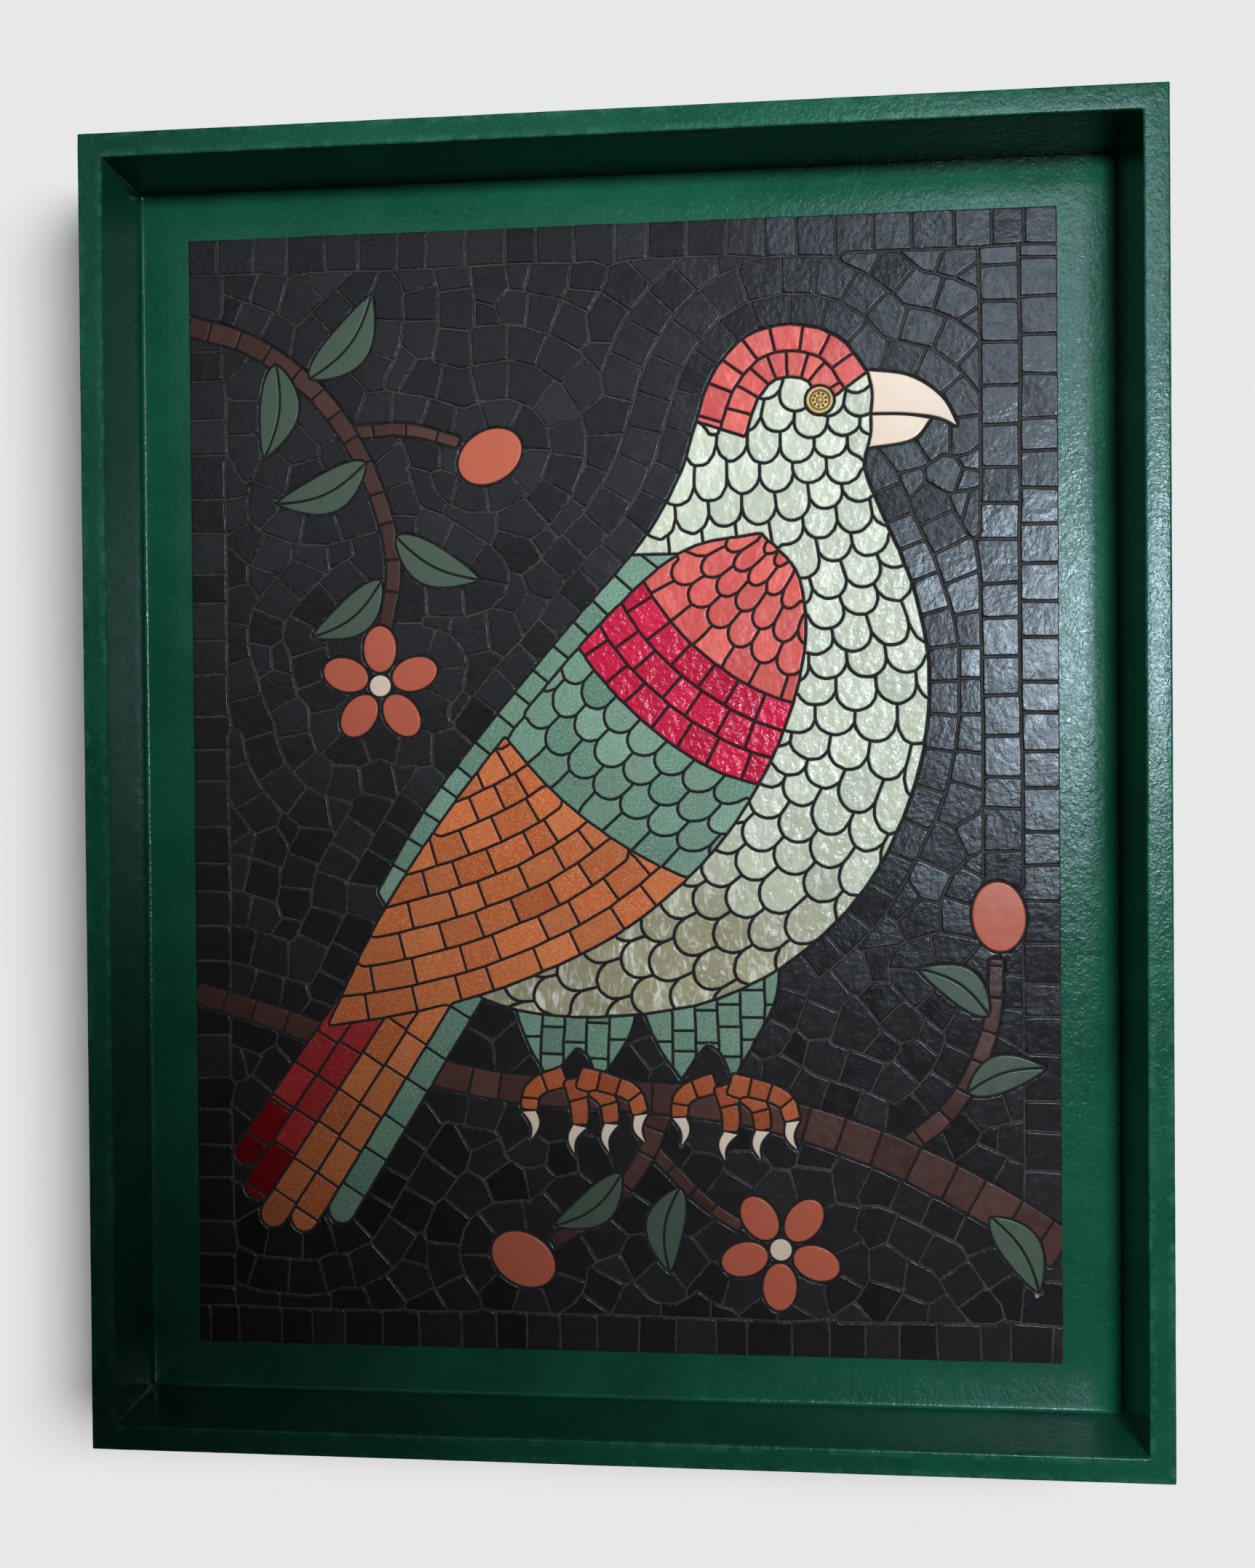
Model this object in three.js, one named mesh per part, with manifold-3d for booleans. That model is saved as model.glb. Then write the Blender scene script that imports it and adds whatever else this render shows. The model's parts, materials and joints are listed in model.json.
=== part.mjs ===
// Framed mosaic panel: a deep tray frame round a painted board, with a dark grout bed
// that holds cut glass pieces: a generic bird on a branch, leaves, buds and two blossoms.
// Millimetres, +Z up. The panel faces -Y. The origin is the middle of the back, on the wall.
import * as THREE from 'three';
import { mergeVertices } from 'three/addons/utils/BufferGeometryUtils.js';
import Module from 'manifold-3d';

const wasm = await Module();
wasm.setup();

// ---- driving dimensions ----
const OUTER_W = 422;        // frame, outside width
const OUTER_H = 525;        // frame, outside height
const DEPTH = 45;           // frame, front to back
const RAIL = 10;            // rail thickness, seen from the front
const EDGE = 0.9;           // softened edges of the rails
const GAP = 0.3;            // air between neighbouring pieces
const BOARD_T = 9;          // board between the rails, flush with the frame's back
const MARGIN_L = 21.5;      // bare board round the mosaic
const MARGIN_R = 23.8;
const MARGIN_T = 21.0;
const MARGIN_B = 20.4;
const BED_T = 3.0;          // grout bed on the board
const PROUD = 0.35;         // single pieces stand proud of the bed
const TILE_EDGE = 0.35;     // softened front edge of the single pieces
const JOINT_W = 1.3;        // grout joint round the figures
const JOINT_D = 0.8;
const SLIVER = 0.05;         // cut edges shorter than this are closed up

const IN_W = OUTER_W - 2 * RAIL;
const IN_H = OUTER_H - 2 * RAIL;
const BED_W = IN_W - MARGIN_L - MARGIN_R;
const BED_H = IN_H - MARGIN_T - MARGIN_B;
const BED_X = (MARGIN_L - MARGIN_R) / 2;
const BED_Z = (MARGIN_B - MARGIN_T) / 2;
const BED_BACK = -(BOARD_T + GAP);
const BED_FRONT = BED_BACK - BED_T;
const TILE_FRONT = BED_FRONT - PROUD;

// ---- materials ----
const mat = (color, roughness, metalness = 0) => new THREE.MeshStandardMaterial({ color, roughness, metalness });
const GREEN_PAINT = mat(0x14503f, 0.45);
const GROUT = mat(0x1b1c1f, 0.8);
const CREAM = mat(0xe9dccf, 0.25);
const BRASS = mat(0xb98f3a, 0.35, 1);
const TERRACOTTA = mat(0xb9604c, 0.35);
const LEAF = mat(0x46584d, 0.35);

// ---- outlines, in the picture's own plane: x right, z up, from the mosaic's middle ----
const rad = (a) => (a * Math.PI) / 180;

function spline(p, closed, step) {
  const out = [];
  const n = p.length;
  for (let i = 0; i < (closed ? n : n - 1); i++) {
    const b = p[i];
    const c = p[(i + 1) % n];
    const a = closed || i > 0 ? p[(i - 1 + n) % n] : [2 * b[0] - c[0], 2 * b[1] - c[1]];
    const d = closed || i + 2 < n ? p[(i + 2) % n] : [2 * c[0] - b[0], 2 * c[1] - b[1]];
    const m = Math.max(1, Math.ceil(Math.hypot(c[0] - b[0], c[1] - b[1]) / step));
    for (let k = 0; k < m; k++) {
      const t = k / m;
      out.push([0, 1].map((j) => 0.5 * (2 * b[j] + (c[j] - a[j]) * t
        + (2 * a[j] - 5 * b[j] + 4 * c[j] - d[j]) * t * t + (3 * b[j] - a[j] - 3 * c[j] + d[j]) * t ** 3)));
    }
  }
  if (!closed) out.push(p[n - 1]);
  return out;
}

// A closed outline of smooth runs that meet at corners.
const runs = (step, ...rr) => rr.flatMap((r) => spline(r, false, step).slice(0, -1));

function area(p) {
  return p.reduce((s, q, i) => s + q[0] * p[(i + 1) % p.length][1] - p[(i + 1) % p.length][0] * q[1], 0) / 2;
}

const ccw = (p) => (area(p) < 0 ? [...p].reverse() : p);

// Moves a closed outline inwards by d, or outwards if d is negative.
function inset(outline, d) {
  const p = ccw(outline);
  const n = p.length;
  return p.map((q, i) => {
    const a = p[(i - 1 + n) % n];
    const b = p[(i + 1) % n];
    const l1 = Math.hypot(q[0] - a[0], q[1] - a[1]);
    const l2 = Math.hypot(b[0] - q[0], b[1] - q[1]);
    const n1 = [-(q[1] - a[1]) / l1, (q[0] - a[0]) / l1];
    const n2 = [-(b[1] - q[1]) / l2, (b[0] - q[0]) / l2];
    const k = d / Math.max(1 + n1[0] * n2[0] + n1[1] * n2[1], 0.4);
    return [q[0] + (n1[0] + n2[0]) * k, q[1] + (n1[1] + n2[1]) * k];
  });
}

// A band of changing width along a centre line.
function band(points, w0, w1, step) {
  const c = spline(points, false, step);
  const side = (s) => c.map((q, i) => {
    const a = c[Math.max(i - 1, 0)];
    const b = c[Math.min(i + 1, c.length - 1)];
    const l = Math.hypot(b[0] - a[0], b[1] - a[1]);
    const w = (s * (w0 + ((w1 - w0) * i) / (c.length - 1))) / 2;
    return [q[0] - ((b[1] - a[1]) / l) * w, q[1] + ((b[0] - a[0]) / l) * w];
  });
  return ccw([...side(1), ...side(-1).reverse()]);
}

function ellipse([cx, cz], rx, rz, angle, n) {
  const a = rad(angle);
  return Array.from({ length: n }, (_, i) => {
    const t = (2 * Math.PI * i) / n;
    return [cx + rx * Math.cos(t) * Math.cos(a) - rz * Math.sin(t) * Math.sin(a),
      cz + rx * Math.cos(t) * Math.sin(a) + rz * Math.sin(t) * Math.cos(a)];
  });
}

// The two halves of a pointed leaf on a bent midrib, with a joint between them.
function leafHalves([bx, bz], angle, length, width, bend, n = 7) {
  const ux = Math.cos(rad(angle));
  const uz = Math.sin(rad(angle));
  const place = ([x, y]) => [bx + ux * x - uz * y, bz + uz * x + ux * y];
  const row = (s) => Array.from({ length: n + 1 }, (_, i) => {
    const t = i / n;
    const w = i > 0 && i < n ? (width / 2) * Math.sin(Math.PI * t ** 0.85) ** 0.8 : 0;
    return place([length * t, bend * length * Math.sin(Math.PI * t) + s * w]);
  });
  const rib = row(0);
  return [1, -1].map((s) => ccw([...rib, ...row(s).slice(1, -1).reverse()]));
}

function clawOutline([tx, tz], angle, length, width, bow) {
  const ux = Math.cos(rad(angle));
  const uz = Math.sin(rad(angle));
  const n = 5;
  const edge = (s) => Array.from({ length: n + 1 }, (_, i) => {
    const t = i / n;
    const y = (s * width / 2) * (1 - t) ** 0.8 + bow * Math.sin(Math.PI * t);
    return [tx + ux * length * t - uz * y, tz + uz * length * t + ux * y];
  });
  return ccw([...edge(1), ...edge(-1).slice(0, -1).reverse()]);
}

// ---- the bird ----
const BODY = (s) => runs(s,
  [[103, 168], [92, 182], [74, 188], [55, 184], [41, 169], [34, 150], [27, 128], [11, 101], [-20, 66], [-52, 28], [-80, -8], [-100, -42]],
  [[-100, -42], [-84, -66], [-60, -84], [-35, -92], [0, -93], [40, -86], [75, -67], [104, -36], [122, 5], [127, 45], [121, 80], [109, 110], [102, 128], [103, 138]],
  [[103, 138], [105, 153], [103, 168]]);
const WING = (s) => runs(s,
  [[60, 104], [28, 97], [-6, 68], [-42, 27], [-74, -14], [-100, -54], [-122, -98]],
  [[-122, -98], [-86, -92], [-44, -80], [2, -58], [40, -25], [65, 15], [77, 55], [75, 86], [60, 104]]);
const BEAK_UPPER = runs(6, [[103, 169], [120, 166], [133, 157], [140, 144]],
  [[140, 144], [131, 148.5], [118, 150.5], [104.5, 151]], [[104.5, 151], [105, 160], [103, 169]]);
const BEAK_LOWER = runs(6, [[104.5, 151], [118, 150.5], [129, 148.8]],
  [[129, 148.8], [121, 140], [103, 137]], [[103, 137], [104.5, 144], [104.5, 151]]);
const THIGHS = (s) => [
  runs(s, [[6, -78], [36, -74], [66, -62]], [[66, -62], [65, -84], [56, -103], [47, -119]],
    [[47, -119], [42, -108], [37, -104]], [[37, -104], [32, -110], [26, -119]], [[26, -119], [16, -104], [6, -78]]),
  runs(s, [[-44, -84], [-16, -84], [8, -82]], [[8, -82], [6, -98], [-2, -112], [-9, -120]],
    [[-9, -120], [-12, -110], [-17, -106]], [[-17, -106], [-22, -112], [-29, -119]], [[-29, -119], [-38, -103], [-44, -84]])];
const EYE = [84, 157];
const EYE_R = 5.5;

// ---- the tail: five feathers side by side, slightly fanned, with round ends ----
const TAIL_ROOT = [-62, -50];
const TAIL_ANGLE = Math.atan2(-0.835, -0.55);
const TAIL_LENGTHS = [142, 152, 158, 152, 140];
const TAIL_FROM = 34;       // the feathers come out from under the wing here
function tailFeather(i) {
  const d = [Math.cos(TAIL_ANGLE), Math.sin(TAIL_ANGLE)];
  const w = (t) => 9.6 + (2.2 * t) / 150;
  const at = (t, o) => [TAIL_ROOT[0] + d[0] * t - d[1] * ((i - 2) * w(t) + o), TAIL_ROOT[1] + d[1] * t + d[0] * ((i - 2) * w(t) + o)];
  const L = TAIL_LENGTHS[i];
  const e = w(L) / 2;
  const side = (s) => [TAIL_FROM, (TAIL_FROM + L - e) / 2, L - e].map((t) => at(t, (s * w(t)) / 2));
  const cap = [0.25, 0.5, 0.75].map((k) => at(L - e + e * Math.sin(Math.PI * k), -e * Math.cos(Math.PI * k)));
  return ccw([...side(-1), ...cap, ...side(1).reverse()]);
}

// ---- feet: four toes each, a claw at the end of each toe ----
const FEET = [[-19, -117], [43, -119]];
const TOES = [[[3, -1], [16, -4], [25, -8], [28, -16]], [[2, -2], [11, -7], [15, -12], [16, -20]],
  [[0, -2], [2, -9], [3, -14], [3, -21]], [[-3, -1], [-12, -4], [-17, -8], [-18, -15]]];
const toe = (f, k) => TOES[k].map(([x, z]) => [FEET[f][0] + x, FEET[f][1] + z]);
function claw(f, k) {
  const t = toe(f, k);
  const end = t[3];
  const angle = (Math.atan2(end[1] - t[2][1], end[0] - t[2][0]) * 180) / Math.PI;
  return clawOutline([end[0] + 0.7 * Math.cos(rad(angle)), end[1] + 0.7 * Math.sin(rad(angle))],
    angle + (k === 3 ? 12 : -12), 11.5, 5.4, k === 3 ? 2.2 : -2.2);
}

// ---- the branch and its twigs: centre line, width at each end ----
const BRANCHES = [
  [[[-178.35, -84], [-140, -96], [-95, -112], [-45, -123], [5, -126], [55, -131], [105, -146], [150, -168], [178.35, -186]], 9, 17],
  [[[-178.35, 196], [-150, 186], [-122, 164], [-102, 132], [-92, 96], [-96, 66]], 9, 6],
  [[[-112, 149], [-86, 150], [-64, 144]], 6, 5],
  [[[112, -149], [136, -128], [150, -98], [153, -69]], 8, 6],
  [[[20, -128], [10, -152], [-6, -172], [-28, -187]], 8, 6],
  [[[13, -147], [34, -168], [50, -179]], 6, 5]];

// ---- leaves, blossoms and buds ----
const LEAVES = [
  [[-141, 179], -98, 40, 17, 0.10], [[-127, 172], 52, 44, 18, -0.12], [[-103, 137], 203, 42, 17, 0.12],
  [[-91, 106], -28, 40, 17, -0.10], [[-97, 88], 218, 38, 16, 0.12], [[141, -123], 18, 33, 15, 0.10],
  [[150, -92], 146, 34, 15, -0.12], [[1, -158], 218, 36, 15, 0.12], [[25, -163], -97, 36, 16, -0.12],
  [[150, -173], -58, 36, 16, 0.10]];
const BLOSSOMS = [[[-98, 44], 18], [[66, -188], -20]];
const BUDS = [[[-51, 138], 10.5, 14, -60], [[154, -52], 10.5, 14, 5], [[-40, -194], 10.5, 14, 60]];
const PETALS = 5;
const PETAL_LONG = 9.6;
const PETAL_WIDE = 6.8;
const HEART_R = 4.4;
const petal = ([c, a0], i) => {
  const a = a0 + (360 / PETALS) * i;
  const r = HEART_R + JOINT_W + PETAL_LONG;
  return ellipse([c[0] + r * Math.cos(rad(a)), c[1] + r * Math.sin(rad(a))], PETAL_LONG, PETAL_WIDE, a, 14);
};

// ---- solids ----
// A plate with a flat back and a softened front edge.
function plate(outline, back, front, edge) {
  const p = ccw(outline);
  const n = p.length;
  const rings = [p.map(([x, z]) => [x, back, z]), p.map(([x, z]) => [x, front + edge, z])];
  if (edge > 0) rings.push(inset(p, edge).map(([x, z]) => [x, front, z]));
  const pos = rings.flat(2);
  const idx = [];
  for (let r = 0; r + 1 < rings.length; r++) {
    for (let i = 0; i < n; i++) {
      const j = (i + 1) % n;
      idx.push(r * n + i, r * n + j, (r + 1) * n + j, r * n + i, (r + 1) * n + j, (r + 1) * n + i);
    }
  }
  const faces = (k) => THREE.ShapeUtils.triangulateShape(rings[k].map(([x, , z]) => new THREE.Vector2(x, z)), []);
  const top = rings.length - 1;
  for (const [a, b, c] of faces(top)) idx.push(top * n + a, top * n + b, top * n + c);
  for (const [a, b, c] of faces(0)) idx.push(a, c, b);
  const g = new THREE.BufferGeometry();
  g.setAttribute('position', new THREE.Float32BufferAttribute(pos, 3));
  g.setIndex(idx);
  return g;
}

function solid(geometry) {
  const g = geometry.clone();
  g.deleteAttribute('normal');
  g.deleteAttribute('uv');
  const m = mergeVertices(g, 1e-4);
  return new wasm.Manifold(new wasm.Mesh({
    numProp: 3,
    vertProperties: new Float32Array(m.attributes.position.array),
    triVerts: new Uint32Array(m.index.array),
  }));
}

function geometryOf(manifold) {
  const m = manifold.getMesh();
  const g = new THREE.BufferGeometry();
  g.setAttribute('position', new THREE.BufferAttribute(new Float32Array(m.vertProperties), 3));
  g.setIndex(new THREE.BufferAttribute(new Uint32Array(m.triVerts), 1));
  return g;
}

const group = new THREE.Group();
function add(name, geometry, material, x = 0, y = 0, z = 0) {
  const mesh = new THREE.Mesh(geometry, material);
  mesh.name = name;
  mesh.position.set(x, y, z);
  group.add(mesh);
  return mesh;
}

// A rail with mitred ends, lying along +X with its outer face down, and its front towards -Y.
function rail(length) {
  const m = GAP / 2 / Math.SQRT2;
  const section = [[0, 0], [RAIL, 0], [RAIL, -DEPTH + EDGE], [RAIL - EDGE, -DEPTH], [EDGE, -DEPTH], [0, -DEPTH + EDGE]];
  const pos = [];
  for (const s of [-1, 1]) for (const [a, y] of section) pos.push(s * (length / 2 - a - m * Math.SQRT2), y, a);
  const n = section.length;
  const idx = [];
  for (let i = 0; i < n; i++) {
    const j = (i + 1) % n;
    idx.push(i, n + i, n + j, i, n + j, j);
  }
  const caps = THREE.ShapeUtils.triangulateShape(section.map(([a, y]) => new THREE.Vector2(a, y)), []);
  for (const [a, b, c] of caps) {
    idx.push(a, c, b, n + a, n + b, n + c);
  }
  const g = new THREE.BufferGeometry();
  g.setAttribute('position', new THREE.Float32BufferAttribute(pos, 3));
  g.setIndex(idx);
  const volume = solid(g).volume();
  if (volume < 0) g.setIndex(idx.map((_, i) => idx[i - (i % 3) + [0, 2, 1][i % 3]]));
  return g;
}

for (const [name, length, turn, x, z] of [
  ['frame_rail_bottom', OUTER_W, 0, 0, -OUTER_H / 2],
  ['frame_rail_right', OUTER_H, -90, OUTER_W / 2, 0],
  ['frame_rail_top', OUTER_W, 180, 0, OUTER_H / 2],
  ['frame_rail_left', OUTER_H, 90, -OUTER_W / 2, 0]]) {
  add(name, rail(length), GREEN_PAINT, x, 0, z).rotation.y = rad(turn);
}

add('backing_board', new THREE.BoxGeometry(IN_W - 2 * GAP, BOARD_T, IN_H - 2 * GAP), GREEN_PAINT, 0, -BOARD_T / 2, 0);

// Single pieces of glass: node name, outline, material.
const pieces = [
  ['beak_upper', inset(BEAK_UPPER, 0.6), CREAM], ['beak_lower', inset(BEAK_LOWER, 0.6), CREAM]];
LEAVES.forEach((l, i) => leafHalves(...l).forEach((h, k) => {
  pieces.push([`leaf_${i + 1}_${k ? 'lower' : 'upper'}`, inset(h, JOINT_W / 3), LEAF]);
}));
BLOSSOMS.forEach((b, i) => {
  for (let k = 0; k < PETALS; k++) pieces.push([`blossom_${i + 1}_petal_${k + 1}`, petal(b, k), TERRACOTTA]);
  pieces.push([`blossom_${i + 1}_heart`, ellipse(b[0], HEART_R, HEART_R, 0, 12), CREAM]);
});
BUDS.forEach((b, i) => pieces.push([`bud_${i + 1}`, ellipse(...b, 18), TERRACOTTA]));
FEET.forEach((_, f) => TOES.forEach((__, k) => {
  pieces.push([`claw_${f ? 'right' : 'left'}_${k + 1}`, claw(f, k), CREAM]);
}));

// The grout bed: a slab with a hole for each single piece, and joints round the figures.
let bed = solid(new THREE.BoxGeometry(BED_W, BED_T, BED_H).translate(0, (BED_BACK + BED_FRONT) / 2, 0));
const cutThrough = (outline) => { bed = bed.subtract(solid(plate(outline, BED_BACK + 1, BED_FRONT - 1, 0))); };
const prism = (outline) => solid(plate(outline, BED_FRONT + JOINT_D, BED_FRONT - 1, 0));
const join = (all) => all.reduce((a, b) => a.add(b));
const cutJoint = (outlines) => {
  bed = bed.subtract(join(outlines.map((o) => prism(inset(o, -JOINT_W / 2))))
    .subtract(join(outlines.map((o) => prism(inset(o, JOINT_W / 2))))));
};
cutJoint([BODY(20)]);
cutJoint([WING(20)]);
cutJoint(THIGHS(14));
cutJoint(TAIL_LENGTHS.map((_, i) => tailFeather(i)));
cutJoint(BRANCHES.slice(1).map(([c, w0, w1]) => band(c, w0, w1, 20)).concat([band(BRANCHES[0][0], 9, 17, 30)]));
FEET.forEach((_, f) => cutJoint(TOES.map((__, k) => band(toe(f, k), 8.6, 7, 12))));
for (const [, outline] of pieces) cutThrough(inset(outline, -GAP));
cutThrough(ellipse(EYE, EYE_R + GAP, EYE_R + GAP, 0, 24));
add('grout_bed', geometryOf(bed.simplify(SLIVER)), GROUT, BED_X, 0, BED_Z);

for (const [name, outline, material] of pieces) {
  add(name, plate(outline, BED_BACK, TILE_FRONT, TILE_EDGE), material, BED_X, 0, BED_Z);
}

// The eye: a turned brass button with a raised rim and a boss.
const E = BED_T + PROUD;
const button = new THREE.LatheGeometry([[0, 0], [EYE_R, 0], [EYE_R, E + 0.2], [EYE_R - 0.5, E + 0.7], [EYE_R - 1.1, E + 0.6],
  [EYE_R - 1.5, E + 0.1], [EYE_R - 2.6, E + 0.3], [1.5, E + 0.4], [1.1, E + 0.9], [0, E + 1.1]].map(([r, y]) => new THREE.Vector2(r, y)), 18);
const eye = add('eye_button', button, BRASS, BED_X + EYE[0], BED_BACK, BED_Z + EYE[1]);
eye.rotation.x = Math.PI;

export default group;
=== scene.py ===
"""Looks of the framed mosaic panel: painted tray frame, grout, hand-cut glass tiles and single pieces.
Metres in Blender; the picture's own layout is worked out in millimetres, x right and z up from the mosaic's middle."""
import json
import bpy
import numpy as np
from math import pi, sin, cos, atan2, radians, degrees, ceil, hypot
from mathutils import Vector, Matrix, geometry as geo

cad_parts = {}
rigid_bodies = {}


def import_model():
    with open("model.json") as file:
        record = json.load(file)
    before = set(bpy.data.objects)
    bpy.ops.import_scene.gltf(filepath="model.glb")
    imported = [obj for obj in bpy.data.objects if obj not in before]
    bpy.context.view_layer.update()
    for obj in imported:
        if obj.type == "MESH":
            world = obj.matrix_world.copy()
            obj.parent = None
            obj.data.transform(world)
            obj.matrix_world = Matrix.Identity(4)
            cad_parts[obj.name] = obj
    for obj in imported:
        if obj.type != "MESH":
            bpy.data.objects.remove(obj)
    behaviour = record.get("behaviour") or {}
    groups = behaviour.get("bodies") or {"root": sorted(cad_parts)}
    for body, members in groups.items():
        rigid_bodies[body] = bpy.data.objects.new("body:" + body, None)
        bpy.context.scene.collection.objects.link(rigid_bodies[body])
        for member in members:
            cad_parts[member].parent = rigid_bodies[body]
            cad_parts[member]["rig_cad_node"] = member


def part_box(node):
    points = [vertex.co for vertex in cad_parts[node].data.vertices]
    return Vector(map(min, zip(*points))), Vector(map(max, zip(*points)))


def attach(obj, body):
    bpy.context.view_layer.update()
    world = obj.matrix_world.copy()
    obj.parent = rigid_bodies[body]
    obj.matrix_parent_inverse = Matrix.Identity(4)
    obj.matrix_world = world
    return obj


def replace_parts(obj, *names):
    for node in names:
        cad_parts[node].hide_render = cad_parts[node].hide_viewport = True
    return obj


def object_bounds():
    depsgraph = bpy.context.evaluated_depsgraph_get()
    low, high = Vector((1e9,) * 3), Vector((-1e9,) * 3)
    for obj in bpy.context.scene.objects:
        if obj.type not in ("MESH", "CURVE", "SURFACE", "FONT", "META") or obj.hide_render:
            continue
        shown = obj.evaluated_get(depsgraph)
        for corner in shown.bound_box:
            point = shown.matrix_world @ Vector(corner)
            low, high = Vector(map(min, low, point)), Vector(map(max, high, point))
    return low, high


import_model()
CAD_BOX = [list(v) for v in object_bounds()]
MM = 0.001
bed_lo, bed_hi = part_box("grout_bed")
MW, MH = (bed_hi[0]-bed_lo[0])/MM, (bed_hi[2]-bed_lo[2])/MM          # the mosaic's size, mm
RES = 0.35
NX, NZ = int(ceil(MW/RES)), int(ceil(MH/RES))
X0, Z0 = -MW/2, -MH/2
rng = np.random.default_rng(41)

# ---------------------------------------------------------------- outlines
def spline(p, step=2.0, closed=False):
    p = np.asarray(p, float); n = len(p); out = []
    for i in range(n if closed else n-1):
        b, c = p[i], p[(i+1) % n]
        a = p[(i-1) % n] if closed or i > 0 else 2*b-c
        d = p[(i+2) % n] if closed or i+2 < n else 2*c-b
        m = max(1, int(ceil(np.hypot(*(c-b))/step)))
        for k in range(m):
            t = k/m
            out.append(0.5*(2*b+(c-a)*t+(2*a-5*b+4*c-d)*t*t+(3*b-a-3*c+d)*t**3))
    if not closed: out.append(p[-1])
    return np.array(out)
def runs(*rr, step=1.5): return np.concatenate([spline(r, step)[:-1] for r in rr])
def area2(p):
    q = np.roll(p, -1, 0); return float((p[:,0]*q[:,1]-q[:,0]*p[:,1]).sum()/2)
def band(points, w0, w1, step=2.0):
    c = spline(points, step)
    d = np.empty_like(c); d[1:-1] = c[2:]-c[:-2]; d[0] = c[1]-c[0]; d[-1] = c[-1]-c[-2]
    d /= np.linalg.norm(d, axis=1)[:,None]
    w = (w0+(w1-w0)*np.linspace(0,1,len(c)))[:,None]/2
    n = np.stack([-d[:,1], d[:,0]],1)
    return np.concatenate([c+n*w, (c-n*w)[::-1]])
def ellipse(c, rx, rz, ang, n=64):
    t = np.linspace(0, 2*pi, n, endpoint=False); a = radians(ang)
    return np.stack([c[0]+rx*np.cos(t)*cos(a)-rz*np.sin(t)*sin(a), c[1]+rx*np.cos(t)*sin(a)+rz*np.sin(t)*cos(a)],1)
def leaf_halves(base, ang, length, width, bend, n=20):
    a = radians(ang); t = np.linspace(0,1,n+1)
    w = width/2*np.clip(np.sin(pi*t**0.85),0,None)**0.8; w[0]=w[-1]=0
    def row(s):
        x, y = length*t, bend*length*np.sin(pi*t)+s*w
        return np.stack([base[0]+cos(a)*x-sin(a)*y, base[1]+sin(a)*x+cos(a)*y],1)
    return [np.concatenate([row(0), row(s)[1:-1][::-1]]) for s in (1,-1)]
def claw_outline(tip, ang, length, width, bow, n=12):
    a = radians(ang); t = np.linspace(0,1,n+1)
    def edge(s):
        x, y = length*t, s*width/2*(1-t)**0.8+bow*np.sin(pi*t)
        return np.stack([tip[0]+cos(a)*x-sin(a)*y, tip[1]+sin(a)*x+cos(a)*y],1)
    return np.concatenate([edge(1), edge(-1)[:-1][::-1]])
CROWN = [(103,168),(92,182),(74,188),(55,184),(41,169),(34,150)]
BACK = [(34,150),(27,128),(11,101),(-20,66),(-52,28),(-80,-8),(-100,-42)]
BODY = runs(CROWN+BACK[1:],
            [(-100,-42),(-84,-66),(-60,-84),(-35,-92),(0,-93),(40,-86),(75,-67),(104,-36),(122,5),(127,45),(121,80),(109,110),(102,128),(103,138)],
            [(103,138),(105,153),(103,168)])
WING_UP = [(60,104),(28,97),(-6,68),(-42,27),(-74,-14),(-100,-54),(-122,-98)]
WING_LO = [(-122,-98),(-86,-92),(-44,-80),(2,-58),(40,-25),(65,15),(77,55),(75,86),(60,104)]
WING = runs(WING_UP, WING_LO)
BEAK_UP = runs([(103,169),(120,166),(133,157),(140,144)],[(140,144),(131,148.5),(118,150.5),(104.5,151)],[(104.5,151),(105,160),(103,169)])
BEAK_LO = runs([(104.5,151),(118,150.5),(129,148.8)],[(129,148.8),(121,140),(103,137)],[(103,137),(104.5,144),(104.5,151)])
THIGHS = [runs([(6,-78),(36,-74),(66,-62)],[(66,-62),(65,-84),(56,-103),(47,-119)],[(47,-119),(42,-108),(37,-104)],[(37,-104),(32,-110),(26,-119)],[(26,-119),(16,-104),(6,-78)]),
          runs([(-44,-84),(-16,-84),(8,-82)],[(8,-82),(6,-98),(-2,-112),(-9,-120)],[(-9,-120),(-12,-110),(-17,-106)],[(-17,-106),(-22,-112),(-29,-119)],[(-29,-119),(-38,-103),(-44,-84)])]
EYE, EYE_R = (84,157), 5.5
TAIL_ROOT = np.array((-62.,-50.)); TAIL_A = atan2(-0.835,-0.55); TAIL_LEN = (142,152,158,152,140)
TD = np.array((cos(TAIL_A), sin(TAIL_A))); TN = np.array((-TD[1], TD[0]))
FEET = [(-19,-117),(43,-119)]
TOES = [[(3,-1),(16,-4),(25,-8),(28,-16)],[(2,-2),(11,-7),(15,-12),(16,-20)],[(0,-2),(2,-9),(3,-14),(3,-21)],[(-3,-1),(-12,-4),(-17,-8),(-18,-15)]]
def toe(f,k): return [(FEET[f][0]+x, FEET[f][1]+z) for x,z in TOES[k]]
def claw(f,k):
    t = toe(f,k); e = t[3]; a = degrees(atan2(e[1]-t[2][1], e[0]-t[2][0]))
    return claw_outline((e[0]+0.7*cos(radians(a)), e[1]+0.7*sin(radians(a))), a+(12 if k==3 else -12), 11.5, 5.4, 2.2 if k==3 else -2.2)
BRANCHES = [([(-178.35,-84),(-140,-96),(-95,-112),(-45,-123),(5,-126),(55,-131),(105,-146),(150,-168),(178.35,-186)],9,17),
 ([(-178.35,196),(-150,186),(-122,164),(-102,132),(-92,96),(-96,66)],9,6),([(-112,149),(-86,150),(-64,144)],6,5),
 ([(112,-149),(136,-128),(150,-98),(153,-69)],8,6),([(20,-128),(10,-152),(-6,-172),(-28,-187)],8,6),([(13,-147),(34,-168),(50,-179)],6,5)]
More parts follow.
